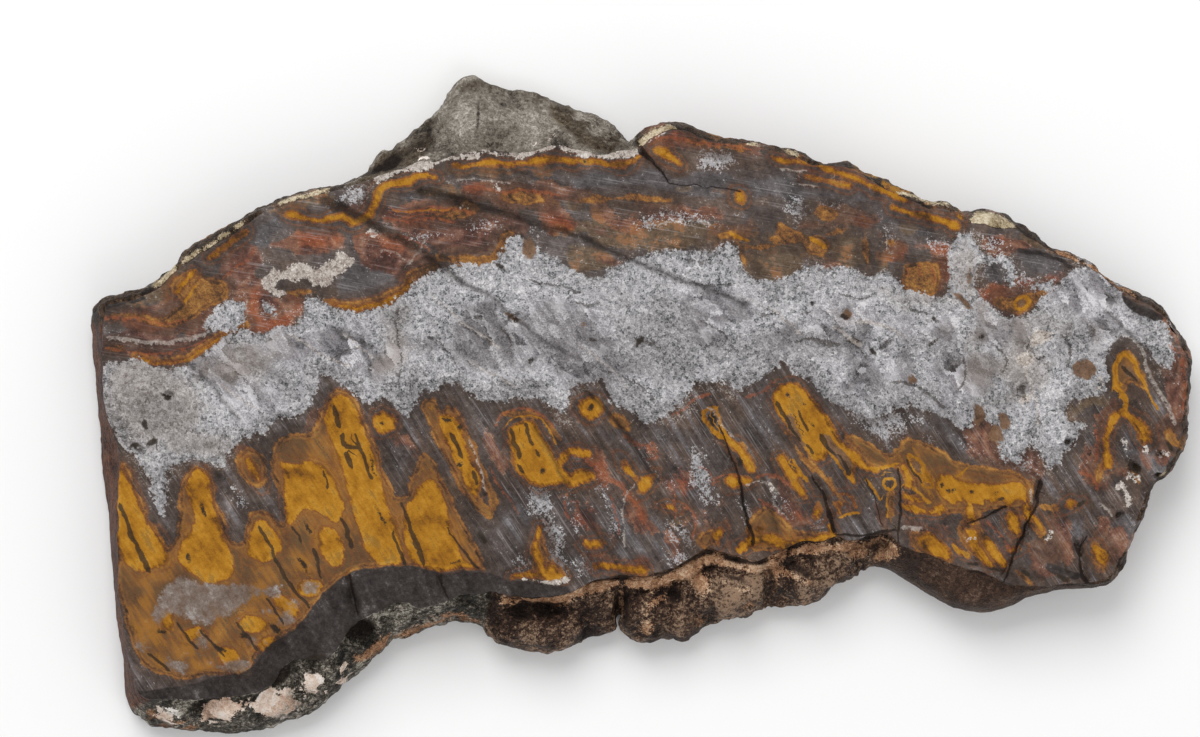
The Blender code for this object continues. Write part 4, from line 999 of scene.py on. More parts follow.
JASPER = (  # red-brown layers
    Patch((
        (-96, 20), (-92, 22.6), (-87, 24), (-84.6, 26.6), (-81, 30.6), (-77, 32), (-75.6, 28.6), (-77, 25),
        (-75, 22), (-67, 22), (-66.6, 17), (-72, 14), (-80, 14.4), (-86, 15), (-90, 12.4), (-100, 15.2),
        (-108, 15.6), (-108, 18.4), (-101, 18.8),
    )),
    Patch((
        (-74.6, 32.4), (-72, 34.4), (-68, 36), (-63.4, 36), (-60.4, 34), (-58.8, 31.2), (-62, 30),
        (-66, 30.4),
        (-71, 30.6),
    )),
    Patch((
        (-57.4, 34.4), (-52.6, 35.2), (-47, 33.4), (-41, 29.6), (-40, 28), (-43, 26), (-45.6, 24.6),
        (-48, 24.8), (-51, 27.4), (-54.6, 27), (-55.6, 30),
    )),
    Patch((
        (-52.4, 36.4), (-51.6, 40), (-48, 41), (-40, 41.4), (-34, 40.2), (-30, 38.6), (-26.4, 37),
        (-25.6, 34.4),
        (-27.6, 30), (-33, 28.4), (-38.4, 29), (-44, 32),
    )),
    Patch((
        (-36, 41.6), (-34, 44), (-29.6, 44.8), (-23, 44.2), (-16, 44.4), (-10, 43.2), (-9, 41.4), (-15, 40.6),
        (-19, 38.4), (-25, 38.8),
    )),
    Spot(-17, 37.8, 4.4, 2.2, -20), Spot(-6.4, 38.6, 5.6, 1.6, -14), Spot(-3, 36.4, 3, 1.6, -20),
    Spot(8, 39, 8, 1.4, -6), Spot(15.4, 31.4, 2, 1.0), Spot(17, 35.4, 3, 1.2), Spot(38, 38.4, 4.4, 1.8),
    Spot(42, 36.8, 3, 0.8), Spot(35, 36, 3.4, 1.2), Spot(47.8, 34.2, 1.7, 1.4), Spot(51.4, 30.6, 1.9, 2.8),
    Spot(49.6, 29.6, 1.6, 0.9), Spot(58.6, 31.6, 3, 1.4), Spot(60.4, 27.4, 2, 2.6), Spot(38, 27.6, 1.8, 1.6),
    Spot(53.6, 27.8, 2.2, 1.2), Spot(53.6, 24, 2, 1.4), Spot(61.6, 24.2, 1.1, 1.0),
    Spot(51, 42.8, 2.6, 0.8, -25),
    Stroke(((2.4, 53.4), (9, 52), (14, 53.6), (22, 52.4), (30, 50), (38, 47.6), (44, 46.2), (49, 43)), 1.3),
    Stroke(((50, 41.4), (56, 39.2), (62, 38), (65, 36.4)), 1.2), Spot(22.6, 50.4, 3.4, 1.4, -8),
    Stroke(((94, 24.6), (99, 21), (104, 18.4), (107, 14.6), (109, 9), (109.4, 2)), 1.0),
    Patch((
        (67.4, 32.6), (69.4, 34.4), (73, 34.6), (76.4, 33.8), (79.6, 31.6), (75.4, 30.6), (72.6, 29.8),
        (70, 30.2), (67.6, 30.6),
    )),
    Patch((
        (66.8, 23.4), (68.4, 24.8), (72, 24), (75, 25.6), (80, 24.8), (83, 23.6), (82, 21.6), (79, 20),
        (78, 17.8), (75, 17.6), (72, 18.8), (70, 21),
    )),
    Patch((  # the right end's brown ground
        (103.4, 13), (106.6, 12), (108.6, 8), (109.6, 1), (108, -7), (105, -13), (103, -10), (104.6, -3),
        (105.6, 3), (104.6, 8),
    )),
    Patch((
        (64.4, -6.6), (66.8, -1.4), (70, -1.8), (72.6, -9.6), (78.4, -9), (81, -13), (79, -15.4), (72, -14.4),
        (66, -11.6),
    )),
    Patch((
        (90.6, -2), (94, 0.4), (94.4, 3.4), (96, 1), (95, -4), (95, -10), (93.6, -14.4), (90, -17.4),
        (88, -14), (90, -9), (91.4, -5),
    )),
    Spot(-8, -12.6, 1.1, 2.4, 20), Spot(1.8, -9.2, 1.6, 1.1, -40),
    Stroke(((-5.4, -15), (-1.6, -19), (3, -24.6)), 1.5),
    Stroke(((-16, -18), (-13, -21.4), (-9, -24.8)), 1.9), Spot(-10.4, -19.4, 1.2, 2.4, 25),
    Spot(-1, -22, 1.4, 3, 30), Spot(24.6, -22.8, 2.4, 3.4, 25), Spot(9, -14, 0.8, 2.8, 30),
    Spot(13.4, -24, 1.2, 3, 20),
    Spot(-6, -30.6, 4, 0.9, -8), Spot(6, -27, 0.8, 2.6, 25), Spot(30, -22, 3, 1.9, -40),
    Spot(17.6, -23.6, 0.8, 2.4, 20),
    Spot(90.6, -15.4, 2.2, 1.1, -50), Spot(100.4, -11.4, 2.6, 0.8, -55), Spot(84, -24, 3.2, 1.1, -40),
    Spot(61, -24.2, 3.6, 1.0, -40), Spot(48, -22, 3.4, 0.8, -60), Spot(70.6, -24.4, 2.8, 0.8, -30),
    Spot(92, -24.6, 0.8, 1.9, -20), Spot(80.6, -29, 3.4, 2.6, -50), Spot(63.4, -32, 5, 0.9, -8),
    Spot(58, -25, 3.6, 1.2, -30),
    Spot(83, -33.4, 3.4, 1.1, -20), Spot(96, -28, 2.2, 3.4, -30), Spot(54.6, -25.4, 1.6, 2.2),
    Spot(84.6, -28, 1.6, 2.8, 10), Spot(-45.4, -8.4, 0.9, 4.4, 22), Spot(-28.6, -9.6, 0.8, 5, 26),
    Spot(-64.4, -3.4, 2.6, 2.2), Spot(-47.4, -7, 2.0, 1.6),
)
MAROON = (  # the darkest red layers
    Patch((
        (-108, 9.4), (-108, 15.4), (-103, 15), (-97, 14), (-92, 14.6), (-88.4, 15.2), (-86, 13.8), (-89, 11),
        (-94, 9.6), (-100, 10.2),
    )),
    Stroke(((-107, 18.9), (-103.4, 18.8), (-99, 18.2), (-94, 19), (-90, 19.6)), 0.9),
    Spot(-74.4, 20.6, 3, 1.8, -10),
    Patch((
        (-42, 35.4), (-36, 35.6), (-31, 37.6), (-25.4, 38.6), (-21, 36.6), (-24.6, 34), (-27.4, 33.6),
        (-30, 31), (-36, 31), (-40.6, 32.6),
    )),
    Spot(-48.4, 28.4, 3.6, 2.6, -20), Spot(-49.4, 38.4, 2.4, 2.6), Spot(-53, 30, 1.8, 2.6),
    Patch((
        (-82.6, 31), (-78, 31.4), (-75, 29.6), (-75.4, 26.6), (-77.4, 25.6), (-80.4, 23), (-82.6, 24.4),
        (-83.4, 28),
    )),
    Spot(-18, 42, 3.4, 1.0, -8), Spot(-11.6, 36, 4, 0.9, -18), Spot(71.6, 32.4, 3, 1.1),
    Spot(38, 27.2, 1.2, 1.1),
    Spot(-5, 28.6, 2.8, 1.1, -10), Spot(3, 38.6, 3, 0.8), Spot(-56.6, 38.6, 2.4, 1.6),
    Spot(60.6, 24.8, 1.4, 1.2),
    Spot(77.4, -11.4, 1.8, 2.6), Spot(106.4, 3, 1.4, 5.4, 8), Spot(53, 25, 0.9, 2.0), Spot(23, 50.4, 3, 1.1),
    Spot(-11, -22.6, 1.3, 2.8, 30), Spot(7, -18.6, 1.1, 4, 28), Spot(28.6, -18, 1.2, 2.6, 28),
)
RED = (  # bright red and orange-red flecks
    Patch((  # the brown loop
        (-79.2, 19), (-78.6, 23), (-76.4, 22.4), (-75.8, 19.6), (-75.2, 17.2), (-72.6, 17), (-70.2, 18.4),
        (-68.8, 20.6), (-70.4, 22), (-67.6, 21.6), (-66.9, 18.8), (-68.8, 16), (-72, 15.2), (-76, 14.5),
        (-79, 14.8),
    )),
    Patch(((58.6, 28.4), (61.8, 28.2), (62, 27.6), (61.6, 24), (60.4, 22.4), (58.4, 22.6), (59, 25.4))),
    Spot(66.4, 22.6, 1.4, 0.6, 30),
    Spot(55.4, 24, 3, 0.6, 8), Spot(58.8, 31.8, 2.6, 1.0, -10), Spot(79, 21.4, 2.2, 0.6, 20),
    Spot(70.6, 22.2, 4.4, 1.8, 4), Spot(80, 23.4, 1.8, 0.8, 20),
    Spot(45.4, 35.6, 1.6, 0.7, -30), Spot(64.4, 31, 1.2, 0.5), Spot(74.4, 18.6, 2, 0.5, -8),
    Spot(47.4, 33.8, 1.5, 0.8, -20),
    Patch(((49.6, 32.8), (52, 32.6), (53.2, 31), (52.4, 28.6), (50.4, 28.2), (49.6, 30))),
    Spot(58, 31.4, 1.2, 0.6), Spot(61.2, 26.4, 0.7, 1.6),
    Spot(-66.4, 33.4, 5, 1.2, -14), Spot(-84.6, 22.8, 2.2, 2.0), Spot(-90, 18.4, 3.4, 1.1, -10),
    Spot(-100, 16.8, 6.4, 0.8, -4), Spot(-24.4, 41.4, 4.6, 1.1, -4), Spot(-31, 43, 3.4, 1.0, -14),
    Spot(-45, 37, 3.4, 1.6), Spot(-50.6, 33, 3, 0.9, -30), Spot(-16, 36.6, 2.6, 0.7, -26),
    Spot(5.6, 51.8, 3, 0.7, -10),
    Spot(72, 33, 1.8, 1.0), Spot(78, 24.4, 3, 0.7, 10),
    Spot(-8.4, -12.8, 0.8, 2.2, 18), Spot(1.6, -9, 1.1, 0.7, -40),
    Stroke(((-4.6, -15.6), (-1.4, -19), (1, -22)), 0.8),
    Spot(-15, -20.4, 0.6, 2.2, 30), Spot(-12, -23.6, 0.6, 2.4, 35), Spot(10, -20.6, 0.5, 2.6, 22),
    Spot(25, -21.6, 1.2, 2, 25),
    Spot(90.8, -15.4, 1.4, 0.6, -50), Spot(96.4, -13.6, 0.7, 0.6), Spot(12, 52.4, 3.6, 0.8, -10),
    Spot(36.6, 46, 3.4, 0.6, -22),
    Spot(52, 40.8, 2, 0.5, -25), Spot(46.4, 45.2, 1.4, 0.7), Spot(-9, -32.8, 1.6, 0.6),
    Spot(-1, -31.6, 2, 0.5),
    Spot(56, -9.4, 1.6, 0.6, -30), Spot(72, -13.6, 1.8, 0.6), Spot(32.4, -23.6, 1.6, 1.0),
)
ISLAND = (  # brown lenses inside the granular band, and dull ones inside the gold
    Spot(88.5, 7.3, 2.2, 2.0), Spot(68, -1.6, 1.2, 2.1), Spot(73, -3, 1.1, 1.9), Spot(71.4, -6, 1.4, 1.7),
    Spot(-22.3, 31.3, 1.4, 2.2, 10),
    Spot(41.4, 18, 0.9, 1.1), Spot(-25.4, 17.6, 1.5, 0.6, -30), Spot(-11, 16.4, 0.6, 0.5),
    Spot(64.4, 20.8, 2.2, 0.7, -40),
    Spot(66, 25.2, 0.5, 1.4), Spot(54.4, 5, 0.9, 0.7), Spot(98.2, 6.4, 0.8, 1.8, 40),
    Spot(76.4, 20.4, 0.8, 0.8), Spot(55.4, -12.2, 1.6, 0.5, -50),
    Patch(((28.4, -1.4), (30.2, -2), (31.8, -5), (33.2, -8.4), (31.2, -7), (29.4, -4.4))),
    Patch(((36.6, -5.4), (38.2, -5.6), (40.2, -8.8), (42.4, -11.6), (42.8, -14), (41, -12.4), (38.4, -9))),
    Spot(29.6, 2, 0.5, 0.5),
)
OLIVE = (  # khaki-brown layers and lenses
    Patch((
        (-17, 34.6), (-15, 37.4), (-10, 37.6), (-4, 35.4), (2, 36.6), (10, 36.4), (17, 36.6), (19.6, 34.4),
        (17.6, 33.2), (12, 31.8), (4, 31.4), (-2, 31), (-6, 31.8), (-11, 33.2),
    )),
    Spot(-10, 29.3, 6, 2.6, -12), Spot(26.4, 28.2, 6.2, 3.9, 6), Spot(41.8, 31.4, 3.6, 3.8),
    Spot(20.4, 33, 2.6, 1.4),
    Spot(-13, 39.8, 3.4, 1.2, -14), Spot(28.4, 33.4, 3.2, 1.8), Spot(34.4, 31.6, 3, 2.6),
    Patch((
        (-107, 20.4), (-103.4, 22), (-98, 23.6), (-94, 27), (-91, 28.6), (-90.4, 24), (-93, 20.6),
        (-99, 19.6),
    )),
    Spot(-70, 39.4, 5, 0.9, 10), Spot(-64, 41, 3, 1.4, 14), Spot(-33, 46.4, 10, 1.0, 2),
    Spot(-40.4, 42.6, 4.4, 1.2, -4),
    Spot(78, 33.4, 3.4, 1.2, -28), Spot(9, 43.6, 4, 0.8), Spot(48.6, 27.4, 1.1, 2.6),
    Spot(-68, -9.4, 3.6, 3), Spot(-40, -17, 3, 3.4, 30),
    Patch((
        (84.6, -3.6), (85, 0.6), (87.6, 1.6), (90, 2.4), (93.4, 2.4), (94, 0), (90, -0.6), (88.4, -3),
        (86, -4.2),
    )),
    Spot(104, 15, 1.6, 2.4), Spot(53.4, 35.4, 2.4, 1.6), Spot(45, -17, 3, 1.2, -60),
    Spot(8, -22.8, 2, 0.9, 20), Spot(60, -33, 5, 0.9),
)
STEEL = (  # blue-grey hematite that takes a bright polish
    Patch((
        (-62.2, 24.4), (-59, 26.8), (-55, 27.2), (-51, 27), (-47.6, 24.6), (-47.4, 22.8), (-50.6, 20.9),
        (-54.6, 20), (-58.4, 20.4), (-61, 22),
    )),
    Patch((
        (-86.4, 25.4), (-86, 28), (-82.6, 31.4), (-78, 34.8), (-73, 38), (-67, 37.4), (-60, 36.6),
        (-55.4, 35.4),
        (-56.4, 31), (-57.6, 34.6), (-62, 36.2), (-68, 36.4), (-73.4, 34.4), (-75, 31.4), (-79, 32.4),
        (-83, 29.6),
    )),
    Patch((
        (-14, 43), (-13, 48), (-6, 48), (-0.6, 48.4), (5.6, 45.4), (10.6, 47), (17, 46.6), (22, 47.6),
        (30, 47.8), (35, 45), (44, 43.4), (50, 40.6), (55, 37), (50, 35.4), (46, 38.4), (40, 40.4),
        (31, 41.4), (20, 42), (6, 42), (-6, 41.8),
    )),
    Spot(-47, 42.6, 4, 1.4, 10), Spot(-24, 46.2, 10, 1.0, -2), Spot(56, 35, 3, 1.4, -20),
    Spot(79.6, 28.6, 4.6, 2.2, -30),
    Spot(70.4, 26.6, 3, 2.2), Spot(24, 36.6, 5, 1.8, -6), Spot(-84.6, -18, 1.9, 5.4, 14),
    Spot(-80.4, -24, 1.4, 3.4, 15),
    Stroke(((-33, -8), (-29.4, -14), (-24.6, -20), (-20.4, -26)), 1.6),
    Stroke(((-44, -1), (-42.6, -8), (-40, -12.6)), 1.4),
    Stroke(((-28, -5.6), (-27, -13), (-22, -19)), 1.2), Stroke(((6, -9), (11, -18), (16, -27)), 1.1),
    Spot(-4, -8.4, 1.4, 4, 30), Spot(47, -19.6, 1.4, 5, 25), Spot(38, -15, 1.2, 4.6, 32),
    Spot(76, -30, 4, 1.9, -25),
    Spot(54.6, -28, 3, 1.6), Spot(86.4, -24.6, 2, 3), Spot(97.4, -25, 2, 3.6, -20), Spot(98, -8, 2, 3.4, 10),
    Spot(66, -22.6, 4, 1.6, -20), Spot(33.6, -21, 1, 4, 25),
)
BLACK = (
    Patch((  # the seam along the lower left
        (-104, -57.4), (-97, -57), (-90, -55.6), (-84, -54.6), (-78, -53), (-76, -50.2), (-74, -47.6),
        (-70, -45.6), (-67, -42), (-64, -39), (-60.4, -34.6), (-58, -33.4), (-53, -32.5), (-47, -32),
        (-44, -32.8), (-40, -33.4), (-30, -33.6), (-27, -35), (-20, -35.6), (-14, -35.8), (-14, -40),
        (-30, -41), (-48, -43), (-60, -52), (-80, -62), (-104, -62),
    )),
    Patch(((95.6, 22.6), (99, 20.6), (104.6, 18.4), (105.4, 16.8), (101.4, 17.2), (97.6, 19.6))),
    Stroke(((-106.6, 19.6), (-103, 20.6), (-99, 21.4)), 1.2), Spot(53.4, 37.8, 0.7, 0.4),
    Stroke(((76, 31), (81, 30.2), (86, 27.6)), 1.0), Patch(((75.8, 4.6), (77.4, 4), (76.6, 2))),
    Stroke(((56, -32.4), (66, -33.6), (74, -36)), 1.4), Stroke(((82, -32.4), (87.6, -34)), 1.8),
)
INK = (  # dark inclusions, and painted shade in the pits
    Spot(-94.4, 2, 1.1, 0.6, -20), Spot(-98.6, -3.8, 0.6, 1.3, 20), Spot(-101, -8, 0.9, 0.6),
    Spot(-97.6, -7.6, 1.2, 0.6, 30),
    Spot(-66, -51.6, 3, 0.9, 20), Spot(-48.6, -40.2, 2.6, 0.6, 10), Spot(-72, -54.6, 2, 0.6, 10),
    Spot(-57.6, -44.8, 1.2, 0.5, 40),
    Spot(42.8, 12.8, 1.6, 0.6, -10), Spot(46.4, 10.6, 1.0, 0.5, -50), Spot(58.8, 17.2, 0.9, 0.4, -30),
    Spot(68.4, 13.8, 0.9, 0.4, 50),
    Spot(-90, -30.4, 0.5, 0.9), Spot(-36.4, -31.6, 1.6, 0.4), Spot(-31.6, -26.6, 0.5, 1.6, 30),
    Spot(-38.4, -2.8, 0.8, 0.4), Spot(-35.6, -4.4, 0.5, 0.8), Spot(-36.2, -11.6, 0.6, 0.5),
    Spot(-31.4, -17.4, 0.5, 0.9, 20), Spot(-19.6, -13, 0.4, 0.6), Spot(-51.4, -4, 0.5, 0.4),
    Spot(-9.9, -0.4, 0.8, 0.7), Spot(14.4, -3, 0.7, 1.5, 12), Spot(19.8, -11.4, 0.6, 1.0, 20),
    Spot(29.6, 2, 0.4, 0.4), Spot(32.6, 0, 0.4, 0.4), Spot(38.8, -5.4, 0.5, 0.3, -40),
    Spot(30.8, -5.4, 0.3, 0.5), Spot(34.6, -3.6, 0.8, 0.3, -40), Spot(62, -17, 0.7, 0.4),
    Spot(66.6, -17.2, 0.6, 0.4), Spot(71.4, -17.6, 0.5, 0.3), Spot(60.4, -16, 0.4, 0.4),
    Spot(22, -27.4, 0.5, 0.4), Spot(-95.6, -45, 1.1, 0.5), Spot(66.6, -31.9, 1.3, 0.4),
    Spot(71, -32.3, 2, 0.4, -8), Spot(58.6, -31, 1.6, 0.3, 10),
    Spot(77.4, -33.4, 1.6, 0.5, -35), Spot(84.6, -34.4, 1.8, 0.6, -25), Spot(80.6, -26.6, 0.9, 0.35, 40),
    Spot(85.4, -32.6, 1.0, 0.3, -60),
    Spot(100, -24.6, 0.7, 0.9), Spot(88, -20, 1.4, 0.4, 35),
    Spot(-84, -49, 1.4, 0.5, -20), Spot(-73, -44.6, 1.6, 0.6, -30), Spot(-79, -46.4, 0.9, 0.6),
    Spot(-66.6, -24.6, 0.5, 1.2, 25), Spot(-51.6, -22.6, 0.4, 2.2, 24), Spot(-53.4, -12, 0.3, 2.4, 18),
    Spot(-3, 48, 0.6, 0.3), Spot(-14, 49.4, 0.4, 0.3), Spot(-10.4, 49, 0.4, 0.3),
    Spot(57.4, 37.4, 0.5, 0.3), Spot(40.8, 17.6, 1.1, 0.6), Spot(0, 12.6, 0.6, 1.6, -30),
    Spot(-28, 27.8, 1.2, 0.5, -30), Spot(-9.4, 13.4, 0.8, 0.4), Spot(72.4, -19, 0.5, 0.3),
    Spot(96, -21.9, 0.8, 0.6), Spot(99, -13, 0.9, 1.2), Spot(103.9, -9.5, 0.5, 0.5),
    Spot(103.4, -14.2, 0.6, 0.4), Spot(109.3, 2.6, 0.5, 0.8),
    Spot(85.4, -7.4, 0.8, 0.8), Spot(100.4, -7.2, 0.3, 0.4), Spot(90, -9.6, 0.3, 0.4),
    Spot(90, -14.2, 0.3, 0.3), Spot(106, -8, 0.5, 1.4, 20), Spot(80, 9.4, 1.1, 0.4),
    Spot(-67.4, -32, 0.5, 1.8, 26),
    Spot(-87.4, -21, 0.4, 1.6, 16), Spot(-24.6, 17, 0.7, 0.6), Spot(-22, 9, 0.5, 1.1, -40),
    Spot(58.4, 12, 1.4, 0.4, 30), Spot(34.4, 20.4, 0.8, 0.4),
)
INK_LINES = (  # dark slits, mostly in the flames
    Stroke(((-104, -20), (-101, -28), (-98.4, -33.4)), 0.9), Stroke(((-61.4, -0.4), (-60.4, -4.4)), 0.8),
    Stroke(((-59.6, -5.8), (-59.5, -8.2), (-56.4, -8.6)), 0.9),
    Stroke(((-57.4, -6), (-55.2, -10.6), (-53.6, -14.6)), 0.7),
    Stroke(((-59, -9.6), (-58, -12.6)), 0.9), Stroke(((-60, -22.4), (-58.4, -26), (-57.6, -28.4)), 0.9),
    Stroke(((-63.4, -13), (-62.4, -17)), 0.4),
    Stroke(((-76, -24), (-73.5, -29), (-70.6, -35.4), (-66.4, -40.6)), (0.9, 0.6)),
    Stroke(((-65.2, -28.6), (-63.8, -34.6)), (0.9, 0.4)), Stroke(((-69.4, -24), (-67.6, -27.6)), 0.5),
    Stroke(((-47.8, -19.6), (-45.6, -24.6), (-43.2, -31.8)), (0.5, 1.1)),
    Stroke(((-49.4, -25), (-47, -31.8)), (0.5, 0.9)),
    Stroke(((-38.6, -24.4), (-35.6, -29), (-32, -33)), (0.3, 0.6)),
    Stroke(((-37.6, -5.6), (-36.6, -8.2), (-35.6, -10.2)), 1.0),
    Stroke(((-33.4, -13.4), (-32.8, -15.6)), 0.8), Stroke(((-25.4, -5), (-25, -7.6), (-24, -10.4)), 0.8),
    Stroke(((-22.8, -3.8), (-22.2, -6), (-21.6, -8.2)), 0.7), Stroke(((-20.9, -9.2), (-20.5, -10.6)), 0.5),
    Stroke(((-24.2, -11.8), (-23.4, -13.6)), 0.6),
    Stroke(((27.6, 0.6), (28.6, -1.4), (30, -4.2), (32, -7)), (0.9, 0.7)),
    Stroke(((33.2, -7.8), (34.6, -9.6)), 0.6), Stroke(((36.4, -5.8), (37.6, -7.8), (39.2, -10)), (1.2, 0.5)),
    Stroke(((39.6, -9.8), (41, -12), (42, -13.8)), (0.4, 0.9)), Stroke(((31.6, -1.6), (33.4, -4.8)), 0.6),
    Stroke(((96.8, 7.6), (98, 6.4), (99.6, 4.8)), (0.9, 0.4)), Stroke(((-92.4, -43.6), (-88.6, -49)), 0.5),
    Stroke(((-87.6, -45.4), (-83.4, -50.6)), 0.6), Stroke(((-80.6, -43.6), (-76.4, -49)), 0.5),
    Stroke(((-98, -49.6), (-94, -53)), 0.6),
    Stroke(((-74.6, -38.6), (-71.4, -43.4)), 0.5), Stroke(((53.2, -10.8), (54.6, -13.4), (56.4, -15.4)), 0.5),
)
GREY_GLASS = (  # the dull grey lens of the lower left, and flecks strewn round it
    Patch((
        (-99, -44.5), (-97, -41), (-94.5, -37.2), (-91, -35), (-87.4, -35.8), (-83, -36.2), (-78, -36.6),
        (-73, -36), (-71.5, -35.6), (-73.5, -37.2), (-78, -38.8), (-80.5, -40.8), (-83.5, -42.9),
        (-87, -43.6), (-90, -42), (-94, -41.6), (-96.4, -44.4),
    )),
    Spot(-71.4, -42.4, 1.2, 0.9), Spot(-76.6, -48, 1.2, 1.0, 20), Spot(-87, -47.4, 1.4, 0.7, 20),
    Spot(-81, -52, 1.6, 0.6),
    Spot(-86.4, -51.6, 1.0, 0.8), Spot(-93, -52, 1.4, 0.9, -20), Spot(-99.6, -47.6, 1.2, 1.0),
    Spot(-69, -39.4, 0.8, 0.6),
    Spot(-90.6, -49.6, 0.8, 0.5), Spot(-66.4, -36.4, 0.9, 0.6), Spot(-79.6, -42.6, 0.8, 0.8),
    Spot(-74.2, -41.4, 0.9, 0.5),
)
GILT = (  # gold lines finer than the mesh
    Stroke((
        (95.4, 3.6), (95, 6.5), (95.2, 8.6), (96.4, 9.9), (97.8, 9.6), (98.8, 8.2), (100, 6.2),
        (100.8, 4.2),
    ), (1.3, 0.7)),
    Stroke(((95.4, 3.8), (96, 2.6), (97.2, 1.6), (97.4, 0.4), (96.6, -1.2)), 1.2),
    Stroke(((100.8, 4.2), (102, 1.6), (103.6, -0.8)), 0.4),
    Stroke(((14.6, -0.6), (12.8, -0.6), (12.8, -2.6), (14.2, -5.2), (16.4, -6.6)), 0.9),
    Stroke(((14.6, -0.8), (15.6, -2.6), (16.2, -4.8), (17.2, -6.6)), 0.8),
    Stroke(((46.8, -13), (49, -12.2), (51.2, -11.6)), 0.7),
    Stroke(((48.8, -15), (50.6, -14.6), (51, -16.2), (49.8, -17.2), (48.6, -16.4), (48.8, -15)), 0.6),
    Stroke((
        (53.4, -9.8), (55.4, -10.8), (57, -13), (57.2, -14.6), (55.2, -13.8), (53.8, -11.6), (53.4, -9.8),
    ), 0.6),
    Stroke(((56.6, -15), (58.4, -14.8), (58.8, -16.2), (57.2, -16.6), (56.4, -15.4)), 0.6),
    Stroke(((56.4, -12.8), (58.4, -15)), 0.8),
    Stroke(((45.2, -15), (47, -17), (48.2, -19.4)), 0.5),
    Stroke(((40.2, -22.6), (41.6, -21.8), (43.6, -21.6)), 0.5),
    Stroke(((36.2, -6.6), (38.4, -10), (40.4, -12.8), (42.4, -15)), 0.5),
    Stroke(((49.6, -18.4), (50, -22.6)), 0.3),
    Stroke(((54, -16), (56.6, -18.6), (58.4, -19.4)), 0.4),
    Stroke((
        (74.8, 20.4), (75.4, 21.8), (77.2, 21.9), (78.1, 20.6), (77.2, 19.1), (75.6, 19.1), (74.8, 20.4),
    ), 0.7),
    Stroke(((30.6, -11), (31.8, -13.6), (33.6, -15.4)), 0.7), Stroke(((28.4, -10.6), (29.4, -13.2)), 0.9),
    Stroke(((52.8, -15.6), (55.4, -17.4), (57.6, -19.6)), 0.4), Stroke(((63.6, -14.4), (65.6, -12.6)), 0.4),
    Stroke(((90.8, -28.2), (92.8, -28.6), (93.4, -30.8), (91.8, -31.4), (90.8, -28.2)), 0.5),
    Stroke(((-26.6, -4.4), (-25.6, -2.4), (-22, -1.8), (-19.2, -3.4), (-17, -8)), 0.3),
    Stroke(((-91.4, 20.4), (-89, 24)), 0.5),
    Stroke(((-49.6, 39.4), (-43, 38.6), (-38, 39.6)), 0.3), Stroke(((17.4, 34.8), (21.6, 33.2)), 0.6),
    Stroke(((34.2, 33.2), (37, 31.4)), 0.9),
)
VEINS = (  # thin red and rust curls
    Stroke(((-10.6, -10.6), (-9.4, -12.4), (-8.2, -13), (-7.4, -14.6)), (0.8, 1.4)),
    Stroke(((-8.6, -12), (-6.6, -14.6)), 1.2),
    Stroke(((-5.6, -15), (-3.4, -15.6), (-2.6, -18), (-0.4, -20.4), (0.6, -23.6), (2.6, -25.8)), (0.9, 0.5)),
    Stroke(((-14.6, -17.6), (-15.4, -20), (-14.4, -22.4)), 0.5),
    Stroke(((-12.6, -18.6), (-12.2, -22), (-10.4, -25)), 0.4),
    Stroke(((-6, -17.8), (-4.6, -21), (-4.4, -26)), 0.4),
    Stroke(((2.4, -8.8), (3.6, -9.6), (3.4, -10.8), (1.8, -10.6)), 0.5),
    Stroke(((14.6, -15.6), (16, -14.2), (18, -14), (20, -14.6)), 0.4),
    Stroke(((23, -14.4), (26, -13.8), (28.4, -14.6), (30, -16.6)), 0.6),
    Stroke(((24, -19), (27, -20.4), (29, -23)), 0.5), Stroke(((5.4, -15.4), (7.4, -18.6), (7, -22.6)), 0.4),
    Stroke(((9, -20), (11.4, -22.6), (10.6, -27)), 0.5), Stroke(((12, -12.4), (14.4, -13.2), (15, -16)), 0.4),
    Stroke(((-30, -12), (-28, -17), (-24.6, -22)), 0.4),
    Stroke(((-29, -4.4), (-27.8, -1.4), (-24.4, -0.2), (-20.4, -1.4), (-17.6, -4.4)), 0.5),
    Stroke(((-3.6, -5.8), (-1, -8), (2, -8.4)), 0.5),
    Stroke(((6.8, -1.6), (9.4, -0.4), (11, 1.6), (14, 2.4)), 0.5),
    Stroke(((21, 1.4), (24.6, 2.4), (26.4, 5)), 0.5), Stroke(((69.6, -23), (72, -25.4), (74.4, -29)), 0.4),
    Stroke(((88, -13), (90.4, -14.4), (91.6, -17)), 0.7), Stroke(((91, -4), (92, -8), (91, -11)), 0.5),
    Stroke(((105.6, 12), (108, 10), (109.2, 6), (109, -1)), 0.5),
    Stroke(((-83.6, 25.6), (-79.6, 28), (-77, 31)), 0.5),
    Stroke(((-57, 33.6), (-52, 34.6), (-47, 33.4), (-42, 30.6)), 0.5),
    Stroke(((-50.4, 39.6), (-44.6, 38.8), (-39, 40), (-33, 38.4)), 0.6),
    Stroke(((-51.6, 37.6), (-46, 36.6), (-41, 37.8), (-36.6, 36.4)), 0.5),
    Stroke(((-33, 43.6), (-28, 42.4), (-22, 42.8), (-16, 41.8)), 0.6),
    Stroke(((-107, 17.4), (-101, 17.4), (-96, 16), (-91, 17)), 0.5),
    Stroke(((-107, 11.4), (-101, 10.6), (-96, 10), (-91, 11.4), (-87, 13.2)), 0.4),
    Stroke(((2, 53.4), (8, 53), (15, 52.4), (22, 51)), 0.6), Stroke(((53.6, 27.8), (53.6, 25.6)), 0.3),
    Stroke(((56.2, 28), (56.2, 25)), 0.3),
    Stroke(((58.6, 28), (58.8, 24.4)), 0.4),
)
